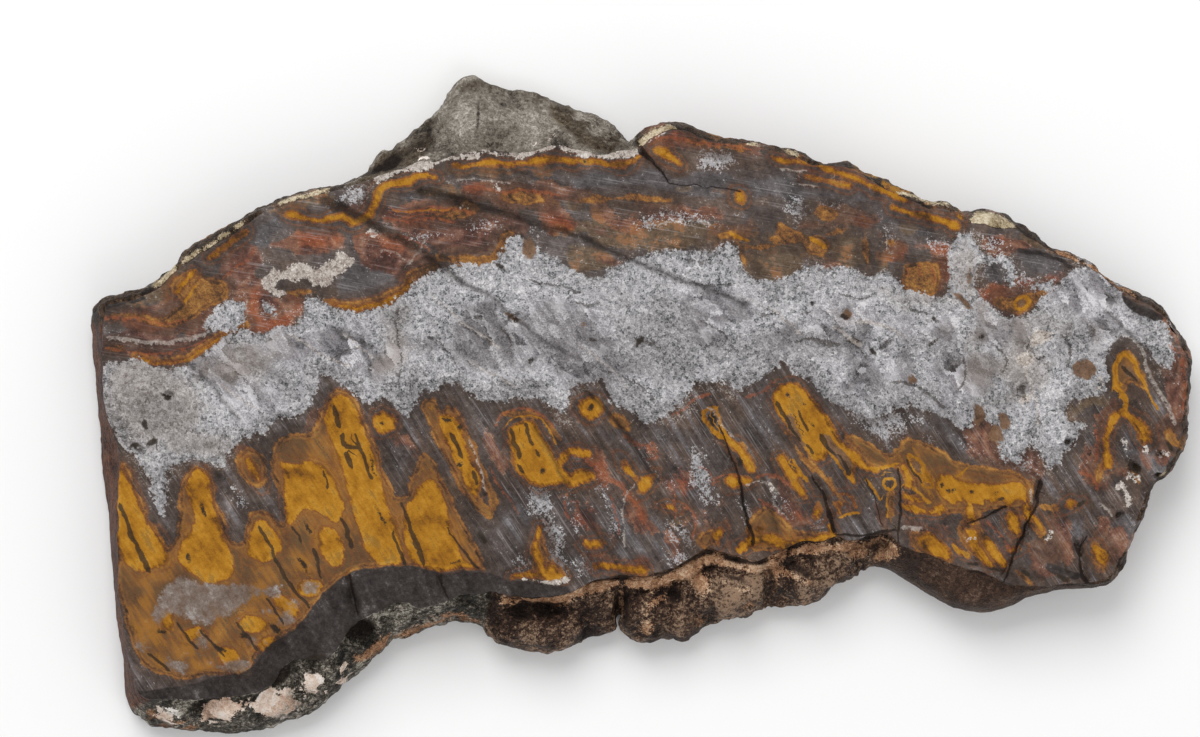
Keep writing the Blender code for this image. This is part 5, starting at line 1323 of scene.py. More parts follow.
HAIRS = (  # thin pale lines
    Stroke(((38, 15.6), (41, 14), (44, 12)), (0.5, 0.9)),
    Stroke(((44, 16.6), (50, 15.4), (53, 13.4)), (0.9, 0.4)),
    Stroke(((-0.8, -15.8), (-3.4, -19), (-3.4, -24), (-3, -28.6)), 0.3), 
    Stroke(((13.2, -0.2), (15, -1.6), (16, -4), (18.6, -6.6)), 0.4),
    Stroke(((21, -16), (25, -15), (28, -18)), 0.3), Stroke(((26, -16.4), (26.6, -19.6), (28.6, -22)), 0.3),
    Stroke(((-34, -7), (-31.6, -13), (-31, -17)), 0.3), Stroke(((52.8, -24.6), (56.8, -24.6)), 0.6),
    Stroke(((91.8, -19.8), (94.6, -22)), 0.5), Stroke(((78, -16.8), (78.1, -19.8)), 0.5),
    Stroke((
        (97, 13.8), (100, 12), (101, 9.4), (101.8, 5.6), (103.8, 2.6), (105.4, 0), (107, -3.6),
    ), (0.4, 0.8)),
    Stroke(((-106.6, 13.6), (-101, 13.2), (-97.6, 12.6), (-94.2, 12.2), (-91.6, 13.2), (-87, 14.2)), 0.8),
    Stroke(((77, 7.6), (78, 4), (79, 0), (79.6, -4)), 0.6), Stroke(((28, 17), (30.6, 16)), 0.4),
    Stroke(((103, -8.8), (104.4, -10.4)), 0.5), Stroke(((28, 47.3), (33.8, 46.9)), 0.4),
    Stroke(((31, 44.2), (36, 43.6)), 0.3), Stroke(((-46.6, 27), (-44.6, 30), (-42.8, 33)), 0.3),
    Stroke(((3.6, 36), (9, 37.2), (14, 36.6)), 0.4),
    Stroke(((-39, 44.4), (-33, 45), (-26, 44.4)), 0.3), Stroke(((49, 34.6), (49.2, 31)), 0.3),
    Stroke(((-52, 31), (-48.6, 30.4), (-45.6, 27.8)), 0.3), Stroke(((-34, 9), (-28, 5.4), (-24, 3.6)), 0.3),
    Stroke(((-70, 14), (-63, 9.6), (-58, 7.6)), 0.4), Stroke(((-60, 15), (-53, 9)), 0.3),
    Stroke(((-84, 4), (-76, -1)), 0.3),
    Stroke(((-42, 22), (-34, 15), (-28, 11)), 0.4), Stroke(((-12, 12), (-6, 8), (-2, 3)), 0.3),
    Stroke(((20, 22), (27, 19), (32, 14)), 0.3),
)
FISSURES = (  # fine dark breaks between the band's grains
    Stroke(((-1, 13.4), (1, 12.6), (3.4, 12.2)), 0.5), Stroke(((3, 13), (5, 10.4), (4.6, 8.6)), 0.4),
    Stroke(((24, 18.2), (26, 17.8), (27.4, 18.4)), 0.5),
    Stroke(((32, 18.4), (34.6, 18.8)), 0.4),
    Stroke(((31, 12.6), (34, 13.2), (36.4, 12.4), (39.4, 12)), (0.6, 1.2)),
    Stroke(((48, 11.4), (50, 12.6)), 0.8), Stroke(((76, 3.4), (77, 1.4), (75.6, 2)), 0.7),
    Stroke(((77.4, 12.4), (78.8, 10)), 0.5),
    Stroke(((51, 4.6), (55, 4), (58, 2.2), (61, -0.4)), 0.5), 
    Stroke(((-101.6, -8), (-99.6, -8.6)), 0.9), Stroke(((-97.4, -6.4), (-96.4, -8.6)), 0.6),
    Stroke(((-48, 20), (-49, 15), (-47.6, 10), (-48.4, 4)), 0.4),
    Stroke(((-33.2, 17.4), (-31.6, 17.6)), 0.8), Stroke(((-26.4, 17), (-24, 18.4)), 0.7),
    Stroke(((-28, 15.6), (-26, 13), (-26.4, 10.4)), 0.4),
    Stroke(((-22, 25), (-17, 24), (-12, 22.4)), 0.4), Stroke(((-12.6, 20.4), (-10, 19.6), (-8, 20.4)), 0.5),
    Stroke(((8, 29.4), (13, 28.8)), 0.5),
    Stroke(((10, 24.6), (15, 23.4), (18, 24.4)), 0.5), Stroke(((40, 22), (44, 21), (47, 22.4)), 0.5),
    Stroke(((54, 19.4), (58, 18.4)), 0.4),
    Stroke(((84, 14), (86.4, 11.4), (85.4, 8)), 0.5), Stroke(((-62, 9), (-58, 11.6), (-53, 12)), 0.3),
    Stroke(((-84, 8.6), (-79, 5.4), (-76, 1)), 0.3),
    Stroke(((64.6, 9.4), (65.4, 5), (63.6, 2.6)), 0.4), Stroke(((70, 13), (73.6, 9.6), (72.6, 6.4)), 0.4),
    Stroke(((12, 17), (17, 14.6), (19.4, 10)), 0.3),
    Stroke(((43, 15.4), (42.4, 12), (45.4, 9.4)), 0.4), Stroke(((-8, 7), (-2, 5.6), (3, 1.4)), 0.3),
    Stroke(((-42, 14), (-37, 9.4), (-36, 5)), 0.3),
)
SAW_STEP_SHADOWS = (  # painted shade along the saw grooves, broad and shallow
    Stroke((
        (-63, 41), (-56, 37.3), (-50, 34), (-45, 31), (-40, 27.7), (-36, 25.3), (-30, 21.6), (-25, 17.8),
    ), (2.2, 0.7)),
    Stroke((
        (-44, 42.8), (-40, 42), (-35, 40.5), (-28, 38.5), (-22, 36.5), (-15, 34.5), (-10, 32.8), (-5, 30.8),
        (-1, 28.8), (4, 27), (12, 23.6), (22, 20),
    ), (2.0, 0.8)),
    Stroke(((-11, 3), (-8.5, 1), (-6, -2), (-3.5, -5.5), (0, -9.5), (3, -13.5), (4, -15)), (1.1, 0.6)),
    Stroke(((-25, 46.6), (-20, 45.2), (-14, 44)), 0.6), Stroke(((92.6, 19), (97, 15.6), (100, 12)), 0.5),
    Stroke(((-90.6, 9.6), (-86, 4), (-80, -3)), 0.4), Stroke(((24, -14), (26, -18.6), (27.4, -25)), 0.5),
    Stroke(((-21, -5), (-17, -12), (-11, -22), (-5, -32)), 0.5),
    Stroke(((-30, 21), (-21, 14), (-12, 9)), 0.5),
)
# open cracks, with painted shade along their gaps
CRACKS = (
    Stroke(((0, 51), (2, 49), (5.5, 45)), (1.2, 0.3)), Stroke(((5.4, 44.8), (12, 44), (20, 42.6)), 0.25),
    Stroke((
        (15.6, -4), (17.5, -9), (19.3, -13), (20.3, -17), (20.5, -19.5), (21.2, -23), (22.5, -28),
    ), (0.3, 0.7)),
    Stroke(((80, -15), (79.4, -18), (78.8, -21), (76, -27), (74.5, -31), (72.5, -35)), (0.7, 0.4)),
    Stroke(((89.2, -26), (87.7, -29), (88.3, -33), (89.6, -36)), (0.3, 0.8)),
    Stroke(((86.6, -28), (88.2, -29.6)), 0.7),
    Stroke(((65.5, -23.7), (69, -22.5), (71.4, -21.4), (73.5, -20.3)), (0.3, 0.6)),
    Stroke(((34.5, -14.5), (36.5, -17.5), (38, -21), (38.8, -25.5)), (0.4, 0.9)),
    Stroke(((39, -26), (44, -26.2), (48, -25.3), (51.5, -24.8)), 0.5),
    Stroke(((51.5, -12.5), (52, -17), (52.3, -20), (52, -28)), 0.4),
    Stroke(((-58.3, -34), (-57.5, -38), (-56.5, -42.5)), (0.7, 0.3)),
    Stroke(((-40.3, -34), (-38.5, -38.5)), 0.4),
    Stroke(((45, -14.6), (47.4, -19), (48.6, -24.4)), 0.25), Stroke(((79.4, -17.6), (80.6, -15.6)), 0.5),
)
TAN = (  # the warmer parts of the granular band
    Spot(-97, 0, 11, 9, -20), Spot(-79, 8, 8, 5, 20), Spot(-88, -6, 8, 3, -30), Spot(67, 10, 3, 7, 15),
    Spot(76, 8, 5, 6),
    Spot(66, 26, 3.4, 5), Spot(80, 16, 7, 2.4, -10), Spot(-49, 12, 3, 6), Spot(60.6, 21, 8, 1.4),
    Spot(41, 17, 2, 1.4),
)
LEDGE = (  # tan and cream stone on the flank, at its real place
    Stroke(((-27, -39.4), (-20, -39), (-14, -38), (-9, -36.3), (-5, -35.6), (-2, -35.8)), 1.8),
    Stroke(((-3, -35.6), (2, -35.8), (6, -35.2), (9.4, -33.2), (12, -30.8), (15, -30.6)), 2.6),
    Stroke(((13, -30.4), (17, -31.6), (22, -32.6), (25, -33.5), (26.6, -32)), 1.9),
    Stroke(((26.6, -31), (26.4, -35), (26, -39.8)), 1.3),
    Stroke(((-3.8, -35), (-3.4, -38), (-3.8, -42)), 1.2),
    Patch((
        (40.4, -28), (44, -27.4), (49.6, -26.8), (52.8, -28.6), (52, -31), (48.6, -31.6), (45.4, -31.4),
        (41.8, -30.4),
    )),
    Stroke(((27.6, -30.4), (32, -29), (36, -28.6), (41, -28.6)), 1.2),
    Stroke(((28.6, -33), (34, -36.4), (38, -36)), 0.8),
    Stroke(((-56.4, -51), (-52, -48.4), (-48, -46.4), (-42, -44.6), (-37, -42.6), (-33, -43.8)), 1.9),
    Stroke(((-99, -62.6), (-95, -64.6), (-90, -65)), 1.9), Spot(-15.6, -38.4, 3, 1.2, 25),
    Spot(20, -36.6, 2.6, 0.9, -20),
    Spot(3.4, -39.6, 2.6, 0.8, 30), Spot(12.6, -35.6, 1.4, 2.2, 20), Spot(1.4, -44.6, 1.2, 1.2),
    Spot(10.4, -44, 2.6, 0.9, 15),
    Stroke(((84, 30.4), (92, 26.6), (99, 21.8)), 0.7), Stroke(((21, -41.4), (24.6, -38.6)), 0.8),
)
CREAM = (
    Stroke(((-97.4, 24.2), (-95.4, 24.8), (-93.2, 27.2)), 1.5), Stroke(((-91, 28.8), (-88.6, 30.6)), 1.1),
    Spot(-86.2, 31.8, 1.2, 0.4, 35),
    Stroke(((-84.2, 33.4), (-82.4, 34.4)), 0.9), Spot(-80.2, 36, 0.9, 0.4, 40),
    Stroke(((-72, 40.6), (-66.4, 42), (-62.6, 43.2)), 0.8),
    Patch(((65.6, 36.6), (67.4, 38.8), (71, 38.8), (74.6, 37), (75.6, 35.6), (71.6, 35.2), (67.6, 35.4))),
    Stroke(((0.4, 52.6), (2.6, 54.4), (5.6, 55.6), (6.6, 55)), 1.5), Spot(30.4, 50.6, 1.4, 0.5, -20),
    Spot(22.6, 52.2, 0.9, 0.5),
    Stroke(((51.6, 42.4), (54.4, 42.2), (58.4, 40.4), (61.4, 40.2)), 0.6), Spot(104.6, -13.6, 0.9, 0.6, 40),
)
CRYSTAL = (
    Patch((
        (-88.4, -63.8), (-87.5, -61.4), (-86, -59), (-84.5, -59.8), (-83.4, -58.4), (-80, -59), (-77, -58.3),
        (-74, -57.4), (-70.4, -57), (-69, -58.4), (-68.4, -61.4), (-71, -62.6), (-73.5, -63.4), (-76, -62.4),
        (-77.4, -61), (-80, -61.6), (-83, -63), (-86, -64.2),
    )),
    Spot(-65.4, -55.8, 2.2, 1.9), Spot(-59, -53.2, 0.9, 0.8), Spot(-17.6, 54, 1.7, 1.2),
    Spot(-44, 49.7, 1.0, 0.6),
    Spot(-20.4, 52.6, 0.7, 0.5), Spot(-60.6, -55.6, 0.7, 0.6), Spot(-95, -62.4, 1.4, 0.8, -20),
)
# painted shade in the flank's crevices and gaps, and in the step under the cut's edge
CREVICE_SHADE = (
    Stroke(((-11, -35.4), (-5, -34.6), (2, -34.2), (7, -32.8), (10, -30.9)), 0.7),
    Stroke(((9.6, -31.2), (12, -29.6), (14, -29.4)), 1.5),
    Stroke(((17.6, -30.4), (21, -31.2), (25, -31.2)), 1.5),
    Spot(7.4, -38.5, 1.5, 1.3), Spot(68.6, -33, 3.4, 0.9, -10), Spot(84.6, -35.4, 2.6, 0.7, -5),
    Spot(-71.8, -53.6, 1.4, 2.6, -30),
    Spot(-55.4, -43.8, 2.4, 1.2, -20), Stroke(((-32.8, 53.4), (-32.4, 57), (-32.6, 61.4)), 0.3),
    Spot(-35, 62, 0.7, 0.6),
    Spot(-50, 48.6, 2.4, 1.4, 40), Spot(-52.4, 47.4, 1.6, 0.9, 30), Spot(15.6, -38, 1.2, 0.8),
    Spot(-10, -41.6, 2.6, 0.8, 20),
    Spot(-22.6, -42.6, 3.2, 0.7, 10), Stroke(((-2.6, -38), (-2.9, -44)), 0.8),
    Stroke(((24.6, -35), (23.6, -40)), 0.6),
    Spot(32.6, -33.4, 3, 0.7, -35), Spot(38, -33.6, 2.4, 0.5, -30), Spot(-98.6, 22.6, 1.4, 0.9, 30),
    Stroke(((-77, -55.2), (-71, -51.8), (-66.8, -48.6), (-63.6, -46)), (0.8, 1.5)),
    Spot(-42.6, 55.6, 0.8, 0.6), Spot(-27.4, 60.4, 0.6, 0.5), Spot(-9.4, 56.4, 1.6, 0.5, -30),
    Spot(19.6, -35, 2, 0.5, -20),
)
OLIVE_ROCK = (  # the darker, mossy-looking parts of the peak
    Stroke(((-56, 46), (-51, 50), (-46.6, 54), (-42.6, 58.6), (-40, 62)), (6.5, 3.4)),
    Spot(-46, 51, 4.6, 3, 40),
    Patch(((-20, 62), (-14, 60.6), (-8, 58), (-2, 53), (-6, 51), (-12, 52), (-16, 54), (-19, 57.4))),
    Stroke(((-37, 64.4), (-30, 65), (-22, 63), (-14, 60)), 2.4),
)


# --------------------------------------------------------------------------------- the stone's layers


class Layer(Enum):
    """A kind of stone in the cut. The value names the attribute that says how deep a vertex lies in it."""

    GRANULAR = "granular"
    SPECKLED = "speckled"
    ISLAND = "island"
    LILAC = "lilac"
    SHADE = "shade"
    PALE = "pale"
    GOLD = "gold"
    OCHRE = "ochre"
    JASPER = "jasper"
    MAROON = "maroon"
    RED = "red"
    OLIVE = "olive"
    STEEL = "steel"
    BLACK = "black"
    INK = "ink"
    GREY_GLASS = "grey_glass"
    TAN = "tan"
    LEDGE = "ledge"
    CREAM = "cream"
    CRYSTAL = "crystal"
    CREVICE_SHADE = "crevice_shade"
    OLIVE_ROCK = "olive_rock"


class Line(Enum):
    """A set of fine lines in the cut. The value names its attributes."""

    FISSURE = "fissure"
    GILT = "gilt"
    VEIN = "vein"
    HAIR = "hair"
    SAW_STEP_SHADOW = "saw_step_shadow"
    INK = "ink_line"
    CRACK = "crack"


class Broad(Enum):
    """A noise or a share carried by the vertices. The value names its attribute."""

    MOTTLE = "mottle"
    ZONES = "zones"
    WANDER = "wander"
    BANDING = "banding"
    LOWER = "lower"


MARKS = {
    Layer.GRANULAR: GRANULAR, Layer.LILAC: LILAC, Layer.SHADE: SHADE, Layer.PALE: PALE, Layer.GOLD: GOLD,
    Layer.OCHRE: OCHRE, Layer.JASPER: JASPER, Layer.MAROON: MAROON, Layer.RED: RED, Layer.OLIVE: OLIVE,
    Layer.STEEL: STEEL, Layer.BLACK: BLACK, Layer.INK: INK, Layer.GREY_GLASS: GREY_GLASS, Layer.TAN: TAN,
    Layer.SPECKLED: SPECKLED, Layer.ISLAND: ISLAND,
}
LINES = {
    Line.FISSURE: FISSURES, Line.GILT: GILT, Line.VEIN: VEINS, Line.HAIR: HAIRS, Line.SAW_STEP_SHADOW: SAW_STEP_SHADOWS,
    Line.INK: INK_LINES, Line.CRACK: CRACKS,
}
FLANK_MARKS = {
    Layer.LEDGE: LEDGE, Layer.CREAM: CREAM, Layer.CRYSTAL: CRYSTAL, Layer.CREVICE_SHADE: CREVICE_SHADE,
    Layer.OLIVE_ROCK: OLIVE_ROCK,
}


@dataclass
class Stone:
    """The slab's points and faces, with what its layers need to know.

    Points stand in three parts: the front's grid, the flank's rows below the first, and the back's grid.
    reach is how far a layer of the cut runs on inwards before it shows on the flank, and each of warps
    is a cell and a height of the noise that bends the layers' outlines.
    """

    slab: Slab
    points: Array
    faces: list[Array]
    rows: Array
    rise: Array
    skins: Array
    front_count: int
    back_count: int
    reach: float = 0.9
    drift: float = 2.2
    warps: tuple[tuple[float, float], ...] = ((6.5, 0.42), (2.2, 0.26), (0.9, 0.12))

    def spread(self, front: Array | float, flank: Array, back: Array | float) -> Array:
        """Values for every point, from those of the front, of the flank's lower rows and of the back."""
        width = flank.shape[2:]
        parts = (
            np.broadcast_to(front, (self.front_count, *width)),
            flank[1:].reshape(-1, *width),
            np.broadcast_to(back, (self.back_count, *width)),
        )
        return np.concatenate(parts)

    def places_on_cut(self) -> Array:
        """Where in the cut each point's layer is read, in x and y.

        Returns:
            A point of the front or back is read at its own place. One of the flank is read just inside
            the cut's edge above it, further along or in as noise drifts it on the way down. All are then
            moved by the warps' noise.
        """
        edge = self.rows[0, :, :2]
        inside = edge + inward_of(edge) * self.reach
        flank = np.broadcast_to(inside[None], (*self.rows.shape[:2], 2)).copy()
        down = 1 - self.rows[..., 2] / self.slab.thickness
        points = self.rows.reshape(-1, 3)
        for axis in range(2):
            drift = fractal_noise(points, 7.0, 80 + axis, octaves=3).reshape(down.shape)
            flank[..., axis] += self.drift * down * drift
        own = self.points[:, :2]
        places = self.spread(own[: self.front_count], flank, own[-self.back_count :])
        lifted = np.column_stack([places, self.points[:, 2] * 0.3])
        moved = places.copy()
        for number, (cell, height) in enumerate(self.warps):
            for axis in range(2):
                moved[:, axis] += height * fractal_noise(lifted, cell, 40 + 7 * number + axis, octaves=2)
        return moved

    def broad_fields(self, places: Array, depths: dict[Layer, Array]) -> dict["Broad", Array]:
        """The noises that are broad enough for the vertices to carry, mostly from -1 to 1.

        Args:
            places: where in the cut each point's layer is read.
            depths: how deep each point lies in each layer.

        Returns:
            Mottling bent by slower noise; zones; the wander of soft edges; banding, a sine of the
            depth under the granular band plus slow noise; and 1 below the band's middle, an arc, or 0
            above it.
        """
        at = np.column_stack([places, self.points[:, 2]])
        bend = np.column_stack([fractal_noise(at, 6.0, 90 + axis, 2) for axis in range(3)])
        slow = fractal_noise(at + 2 * bend, 8.0, 100, 2)
        middle = 16 - 14 * ((at[:, 0] - 20) / 125) ** 2
        return {
            Broad.MOTTLE: 1.5 * fractal_noise(at + 1.6 * bend, 3.4, 110, 3),
            Broad.ZONES: 1.6 * fractal_noise(at, 13.0, 115, 2),
            Broad.WANDER: 1.4 * fractal_noise(at + bend, 3.8, 118, 2),
            Broad.BANDING: np.sin(2 * math.pi * (depths[Layer.GRANULAR] / 2.1 + 1.5 * slow)),
            Broad.LOWER: np.clip((middle - at[:, 1]) / 4 + 0.5, 0, 1),
        }

    def fall(self) -> Array:
        """Nothing on the front, rising to 1 at the widest line and to 2 at the back cut."""
        upper, lower = self.slab.upper_rows, self.slab.lower_rows
        levels = np.concatenate([np.linspace(0, 1, upper + 1), np.linspace(1, 2, lower + 1)[1:]])
        return self.spread(0.0, np.broadcast_to(levels[:, None], self.rows.shape[:2]), 2.0)

    def attributes(self) -> dict[str, Array]:
        """Every attribute of the mesh, by name: depths in the layers, the fall, the rise and the skins."""
        places = self.places_on_cut()
        depths = {layer: deepest_of(marks, places) for layer, marks in MARKS.items()}
        depths[Layer.OCHRE] = np.maximum(depths[Layer.OCHRE], np.minimum(depths[Layer.GOLD] + 0.35, FAR))
        on_flank = self.spread(0.0, np.ones(self.rows.shape[:2]), 0.0) > 0
        for layer, marks in FLANK_MARKS.items():
            depths[layer] = np.where(on_flank, deepest_of(marks, self.points[:, :2]), -FAR)
        values = {layer.value: depth for layer, depth in depths.items()}
        values |= {field.value: noise for field, noise in self.broad_fields(places, depths).items()}
        for line, strokes in LINES.items():
            side, reach = side_and_reach_of(strokes, places)
            values |= {line.value + "_side": side, line.value + "_reach": reach}
        values["fall"] = self.fall()
        values["rise"] = self.spread(0.0, self.rise, 0.0)
        for skin, share in zip(Skin, self.skins.T):
            values[skin.value] = self.spread(0.0, np.broadcast_to(share, self.rise.shape), 0.0)
        return values

    def mesh(self) -> bpy.types.Mesh:
        """The stone's mesh in metres, with its attributes, and smooth but for its sharp edges."""
        mesh = bpy.data.meshes.new("slab_stone")
        faces = [face for part in self.faces for face in part.tolist()]
        mesh.from_pydata((self.points * MM).tolist(), [], faces)
        mesh.polygons.foreach_set("use_smooth", np.ones(len(mesh.polygons), bool))
        mesh.set_sharp_from_angle(angle=math.radians(self.slab.sharp_angle))
        for name, values in self.attributes().items():
            attribute = mesh.attributes.new(name, "FLOAT", "POINT")
            attribute.data.foreach_set("value", np.ascontiguousarray(values, dtype=np.float32))
        mesh.update()
        return mesh


# ---------------------------------------------------------------------------------- shader arithmetic


class Value:
    """A number in a shader: its socket, with the operators that shader arithmetic needs."""

    def __init__(self, shader: "Shader", socket: bpy.types.NodeSocket) -> None:
        """Wraps a socket of the shader's tree."""
        self.shader, self.socket = shader, socket

    def apply(self, operation: str, *operands: "Value | float") -> "Value":
        """A Math node of the given operation on this value and the operands."""
        inputs = dict(enumerate((self, *operands)))
        return self.shader.value("ShaderNodeMath", {"operation": operation}, inputs)

    def __add__(self, other: "Value | float") -> "Value":
        """This value plus another."""
        return self.apply("ADD", other)

    __radd__ = __add__

    def __mul__(self, other: "Value | float") -> "Value":
        """This value times another."""
        return self.apply("MULTIPLY", other)

    __rmul__ = __mul__

    def __sub__(self, other: "Value | float") -> "Value":
        """This value less another."""
        return self.apply("SUBTRACT", other)

    def __rsub__(self, other: float) -> "Value":
        """A number less this value."""
        return self * -1 + other

    def rising(self, low: float, high: float) -> "Value":
        """0 below low and 1 above high, with a smooth step between them."""
        settings = {"interpolation_type": "SMOOTHSTEP", "clamp": True}
        inputs = {"Value": self, "From Min": low, "From Max": high}
        return self.shader.value("ShaderNodeMapRange", settings, inputs)


Paint = bpy.types.NodeSocket | Colour


@dataclass(frozen=True)
class Coat:
    """A surface's colour and how rough it is."""

    colour: Paint
    roughness: Value | float


class Shader:
    """A material's node tree, written as expressions."""

    def __init__(self, name: str) -> None:
        """Makes the material with its output and one Principled shader."""
        self.material = bpy.data.materials.new(name)
        self.material.use_nodes = True
        self.tree = self.material.node_tree
        self.surface = self.tree.nodes["Principled BSDF"]
        place = self.node("ShaderNodeTexCoord").outputs["Object"]
        self.place = self.vector("SCALE", {"Vector": place, "Scale": 1 / MM})

    def node(
        self, kind: str, settings: Settings | None = None, inputs: Inputs | None = None
    ) -> bpy.types.Node:
        """Adds a node.

        Args:
            kind: the node's type.
            settings: its properties, set first. Stops are a ramp's (place, colour) pairs.
            inputs: a value or a link for each of its sockets, by name or number.

        Returns:
            The node.
        """
        node = self.tree.nodes.new(kind)
        for name, setting in (settings or {}).items():
            if name == "stops":
                self.set_stops(node.color_ramp, setting)
            else:
                setattr(node, name, setting)
        for name, given in (inputs or {}).items():
            socket = node.inputs[name]
            given = given.socket if isinstance(given, Value) else given
            if isinstance(given, bpy.types.NodeSocket):
                self.tree.links.new(given, socket)
            elif socket.type == "RGBA":
                socket.default_value = (*given, 1.0)
            else:
                socket.default_value = given
        return node

    def set_stops(self, ramp: bpy.types.ColorRamp, stops: tuple[tuple[float, Colour], ...]) -> None:
        """Gives a ramp its stops."""
        while len(ramp.elements) < len(stops):
            ramp.elements.new(1.0)
        for element, (place, colour) in zip(ramp.elements, stops):
            element.position, element.color = place, (*colour, 1.0)

    def value(self, kind: str, settings: Settings, inputs: Inputs) -> Value:
        """A node's first output as a value."""
        return Value(self, self.node(kind, settings, inputs).outputs[0])

    def vector(self, operation: str, inputs: Inputs) -> bpy.types.NodeSocket:
        """A Vector Math node's vector."""
        return self.node("ShaderNodeVectorMath", {"operation": operation}, inputs).outputs["Vector"]

    def attribute(self, name: str) -> Value:
        """An attribute of the mesh."""
        return Value(self, self.node("ShaderNodeAttribute", {"attribute_name": name}).outputs["Fac"])

    def noise(self, cell: float, detail: float, lean: float, stretch: float) -> Value:
        """Noise about nothing, mostly from -1 to 1.

        Args:
            cell: the size of its blots, in millimetres.
            detail: how many finer octaves it has.
            lean: the direction of its streaks, in degrees leftwise from x.
            stretch: how many times longer than wide its blots are.

        Returns:
            The noise, read at a place turned by the lean, and shrunk along it by the stretch.
        """
        mapping = {"Rotation": (0, 0, math.radians(lean)), "Scale": (cell * stretch, cell, cell)}
        place = self.node("ShaderNodeMapping", {"vector_type": "TEXTURE"}, {"Vector": self.place, **mapping})
        sockets = {"Vector": place.outputs["Vector"], "Scale": 1.0, "Detail": detail}
        sockets["Roughness"] = NOISE_ROUGHNESS
        return (self.value("ShaderNodeTexNoise", {}, sockets) - 0.5) * NOISE_GAIN

    def place_moved(self, along: Value, up: Value) -> bpy.types.NodeSocket:
        """The place in mm, moved by two values in x and y."""
        move = self.node("ShaderNodeCombineXYZ", {}, {"X": along, "Y": up}).outputs["Vector"]
        return self.vector("ADD", {0: self.place, 1: move})

    def cells(
        self, size: float, place: bpy.types.NodeSocket | None = None, lean: float = 0.0, stretch: float = 1.0
    ) -> tuple[Value, Value]:
        """Cells of a size in mm, as crystals make them.

        Args:
            size: how wide the cells are.
            place: where the pattern is read, or nothing for the place itself.
            lean: the direction they lie in, in degrees leftwise from x.
            stretch: how many times longer than wide they are.

        Returns:
            A random number from -1 to 1 for each cell, and the distance from its middle in cells.
        """
        mapping = {"Rotation": (0, 0, math.radians(lean)), "Scale": (size * stretch, size, size)}
        inputs = {"Vector": place or self.place, **mapping}
        turned = self.node("ShaderNodeMapping", {"vector_type": "TEXTURE"}, inputs).outputs["Vector"]
        cells = self.node("ShaderNodeTexVoronoi", {"feature": "F1"}, {"Vector": turned, "Scale": 1.0})
        number = self.value("ShaderNodeSeparateColor", {}, {0: cells.outputs["Color"]})
        return number * 2.0 - 1.0, Value(self, cells.outputs["Distance"])

    def mix(self, share: Value | float, lower: Paint, upper: Paint) -> bpy.types.NodeSocket:
        """The lower paint where share is 0 and the upper where it is 1."""
        inputs = {"Factor": share, "A": lower, "B": upper}
        node = self.node("ShaderNodeMix", {"data_type": "RGBA"})
        by_name = {(s.name, s.type): s for s in node.inputs if s.enabled}
        for name, given in inputs.items():
            kind = "VALUE" if name == "Factor" else "RGBA"
            socket = by_name[name, kind]
            given = given.socket if isinstance(given, Value) else given
            if isinstance(given, bpy.types.NodeSocket):
                self.tree.links.new(given, socket)
            else:
                socket.default_value = given if kind == "VALUE" else (*given, 1.0)
        return next(s for s in node.outputs if s.enabled)

    def ramp(self, at: Value, stops: tuple[tuple[float, Colour], ...]) -> bpy.types.NodeSocket:
        """The colour of a ramp of stops at a value."""
        return self.node("ShaderNodeValToRGB", {"stops": stops}, {0: at}).outputs["Color"]

    def covered(self, share: Value | float, lower: Coat, upper: Coat) -> Coat:
        """The lower coat, covered by the upper one in the given share."""
        gap = upper.roughness - lower.roughness
        return Coat(self.mix(share, lower.colour, upper.colour), lower.roughness + share * gap)


# ------------------------------------------------------------------------------------------ finishes


class Fine(Enum):
    """A noise that the shader works out: cell in mm, octaves, lean in degrees and stretch."""

    GRIT = (0.32, 1.0, 0.0, 1.0)
    FINE = (0.95, 2.0, 0.0, 1.0)
    FIBRE = (0.9, 2.0, -57.0, 7.0)
    STRIPE = (1.8, 2.0, -57.0, 12.0)
    STEEP = (0.28, 1.0, -57.0, 26.0)
    LEVEL = (0.32, 1.0, -10.0, 26.0)


Fields = dict["str | Texture", Value]


class Texture(Enum):
    """How the noises add up in a kind of stone. The value is the strength of each, by name."""

    POLISHED = {"grit": 0.4, "fine": 0.6, "mottle": 0.6, "grains": 0.3, "fibre": 0.4}
    BANDED = {"grit": 0.4, "fine": 0.6, "mottle": 0.5, "grains": 0.3, "banding": 0.8}
    FIBROUS = {"grit": 0.4, "fine": 0.6, "mottle": 0.8, "fibre": 0.7, "contour": 0.35}
    SALTED = {"grit": 1.1, "fine": 0.5, "grains": 0.9, "mottle": 0.3, "fibre": 0.25}
    CLEAR = {"grit": 0.8, "fine": 0.6, "plates": 1.45, "mottle": 0.4, "fibre": 0.7, "streaks": 0.5}
    BLOCKY = {"grit": 0.3, "fine": 0.6, "plates": 0.9, "mottle": 0.4}
    ROUGH = {"grit": 0.8, "fine": 0.8, "grains": 0.7, "mottle": 0.7}


@dataclass(frozen=True)
class Finish:
    """A kind of stone: its shades from dark to light, and how its texture moves it among them.

    Each shade is a display colour of 0 to 255.
    """

    shades: tuple[Shade, ...]
    texture: Texture = Texture.POLISHED
    contrast: float = 1.0
    middle: float = 0.5
    roughness: float = 0.5

    def coat(self, shader: Shader, fields: Fields, shift: Value | float = 0.0) -> Coat:
        """The shades' ramp, read at its middle moved by a quarter of the texture times the contrast.

        Args:
            shader: the material's nodes.
            fields: the noises, by name, and the textures.
            shift: moves the whole coat up or down the ramp.

        Returns:
            The coat.
        """
        at = fields[self.texture] * (0.25 * self.contrast) + (shift + self.middle)
        places = np.linspace(0.02, 0.98, len(self.shades)).tolist()
        stops = tuple((place, tone(*shade)) for place, shade in zip(places, self.shades))
        return Coat(shader.ramp(at, stops), self.roughness)


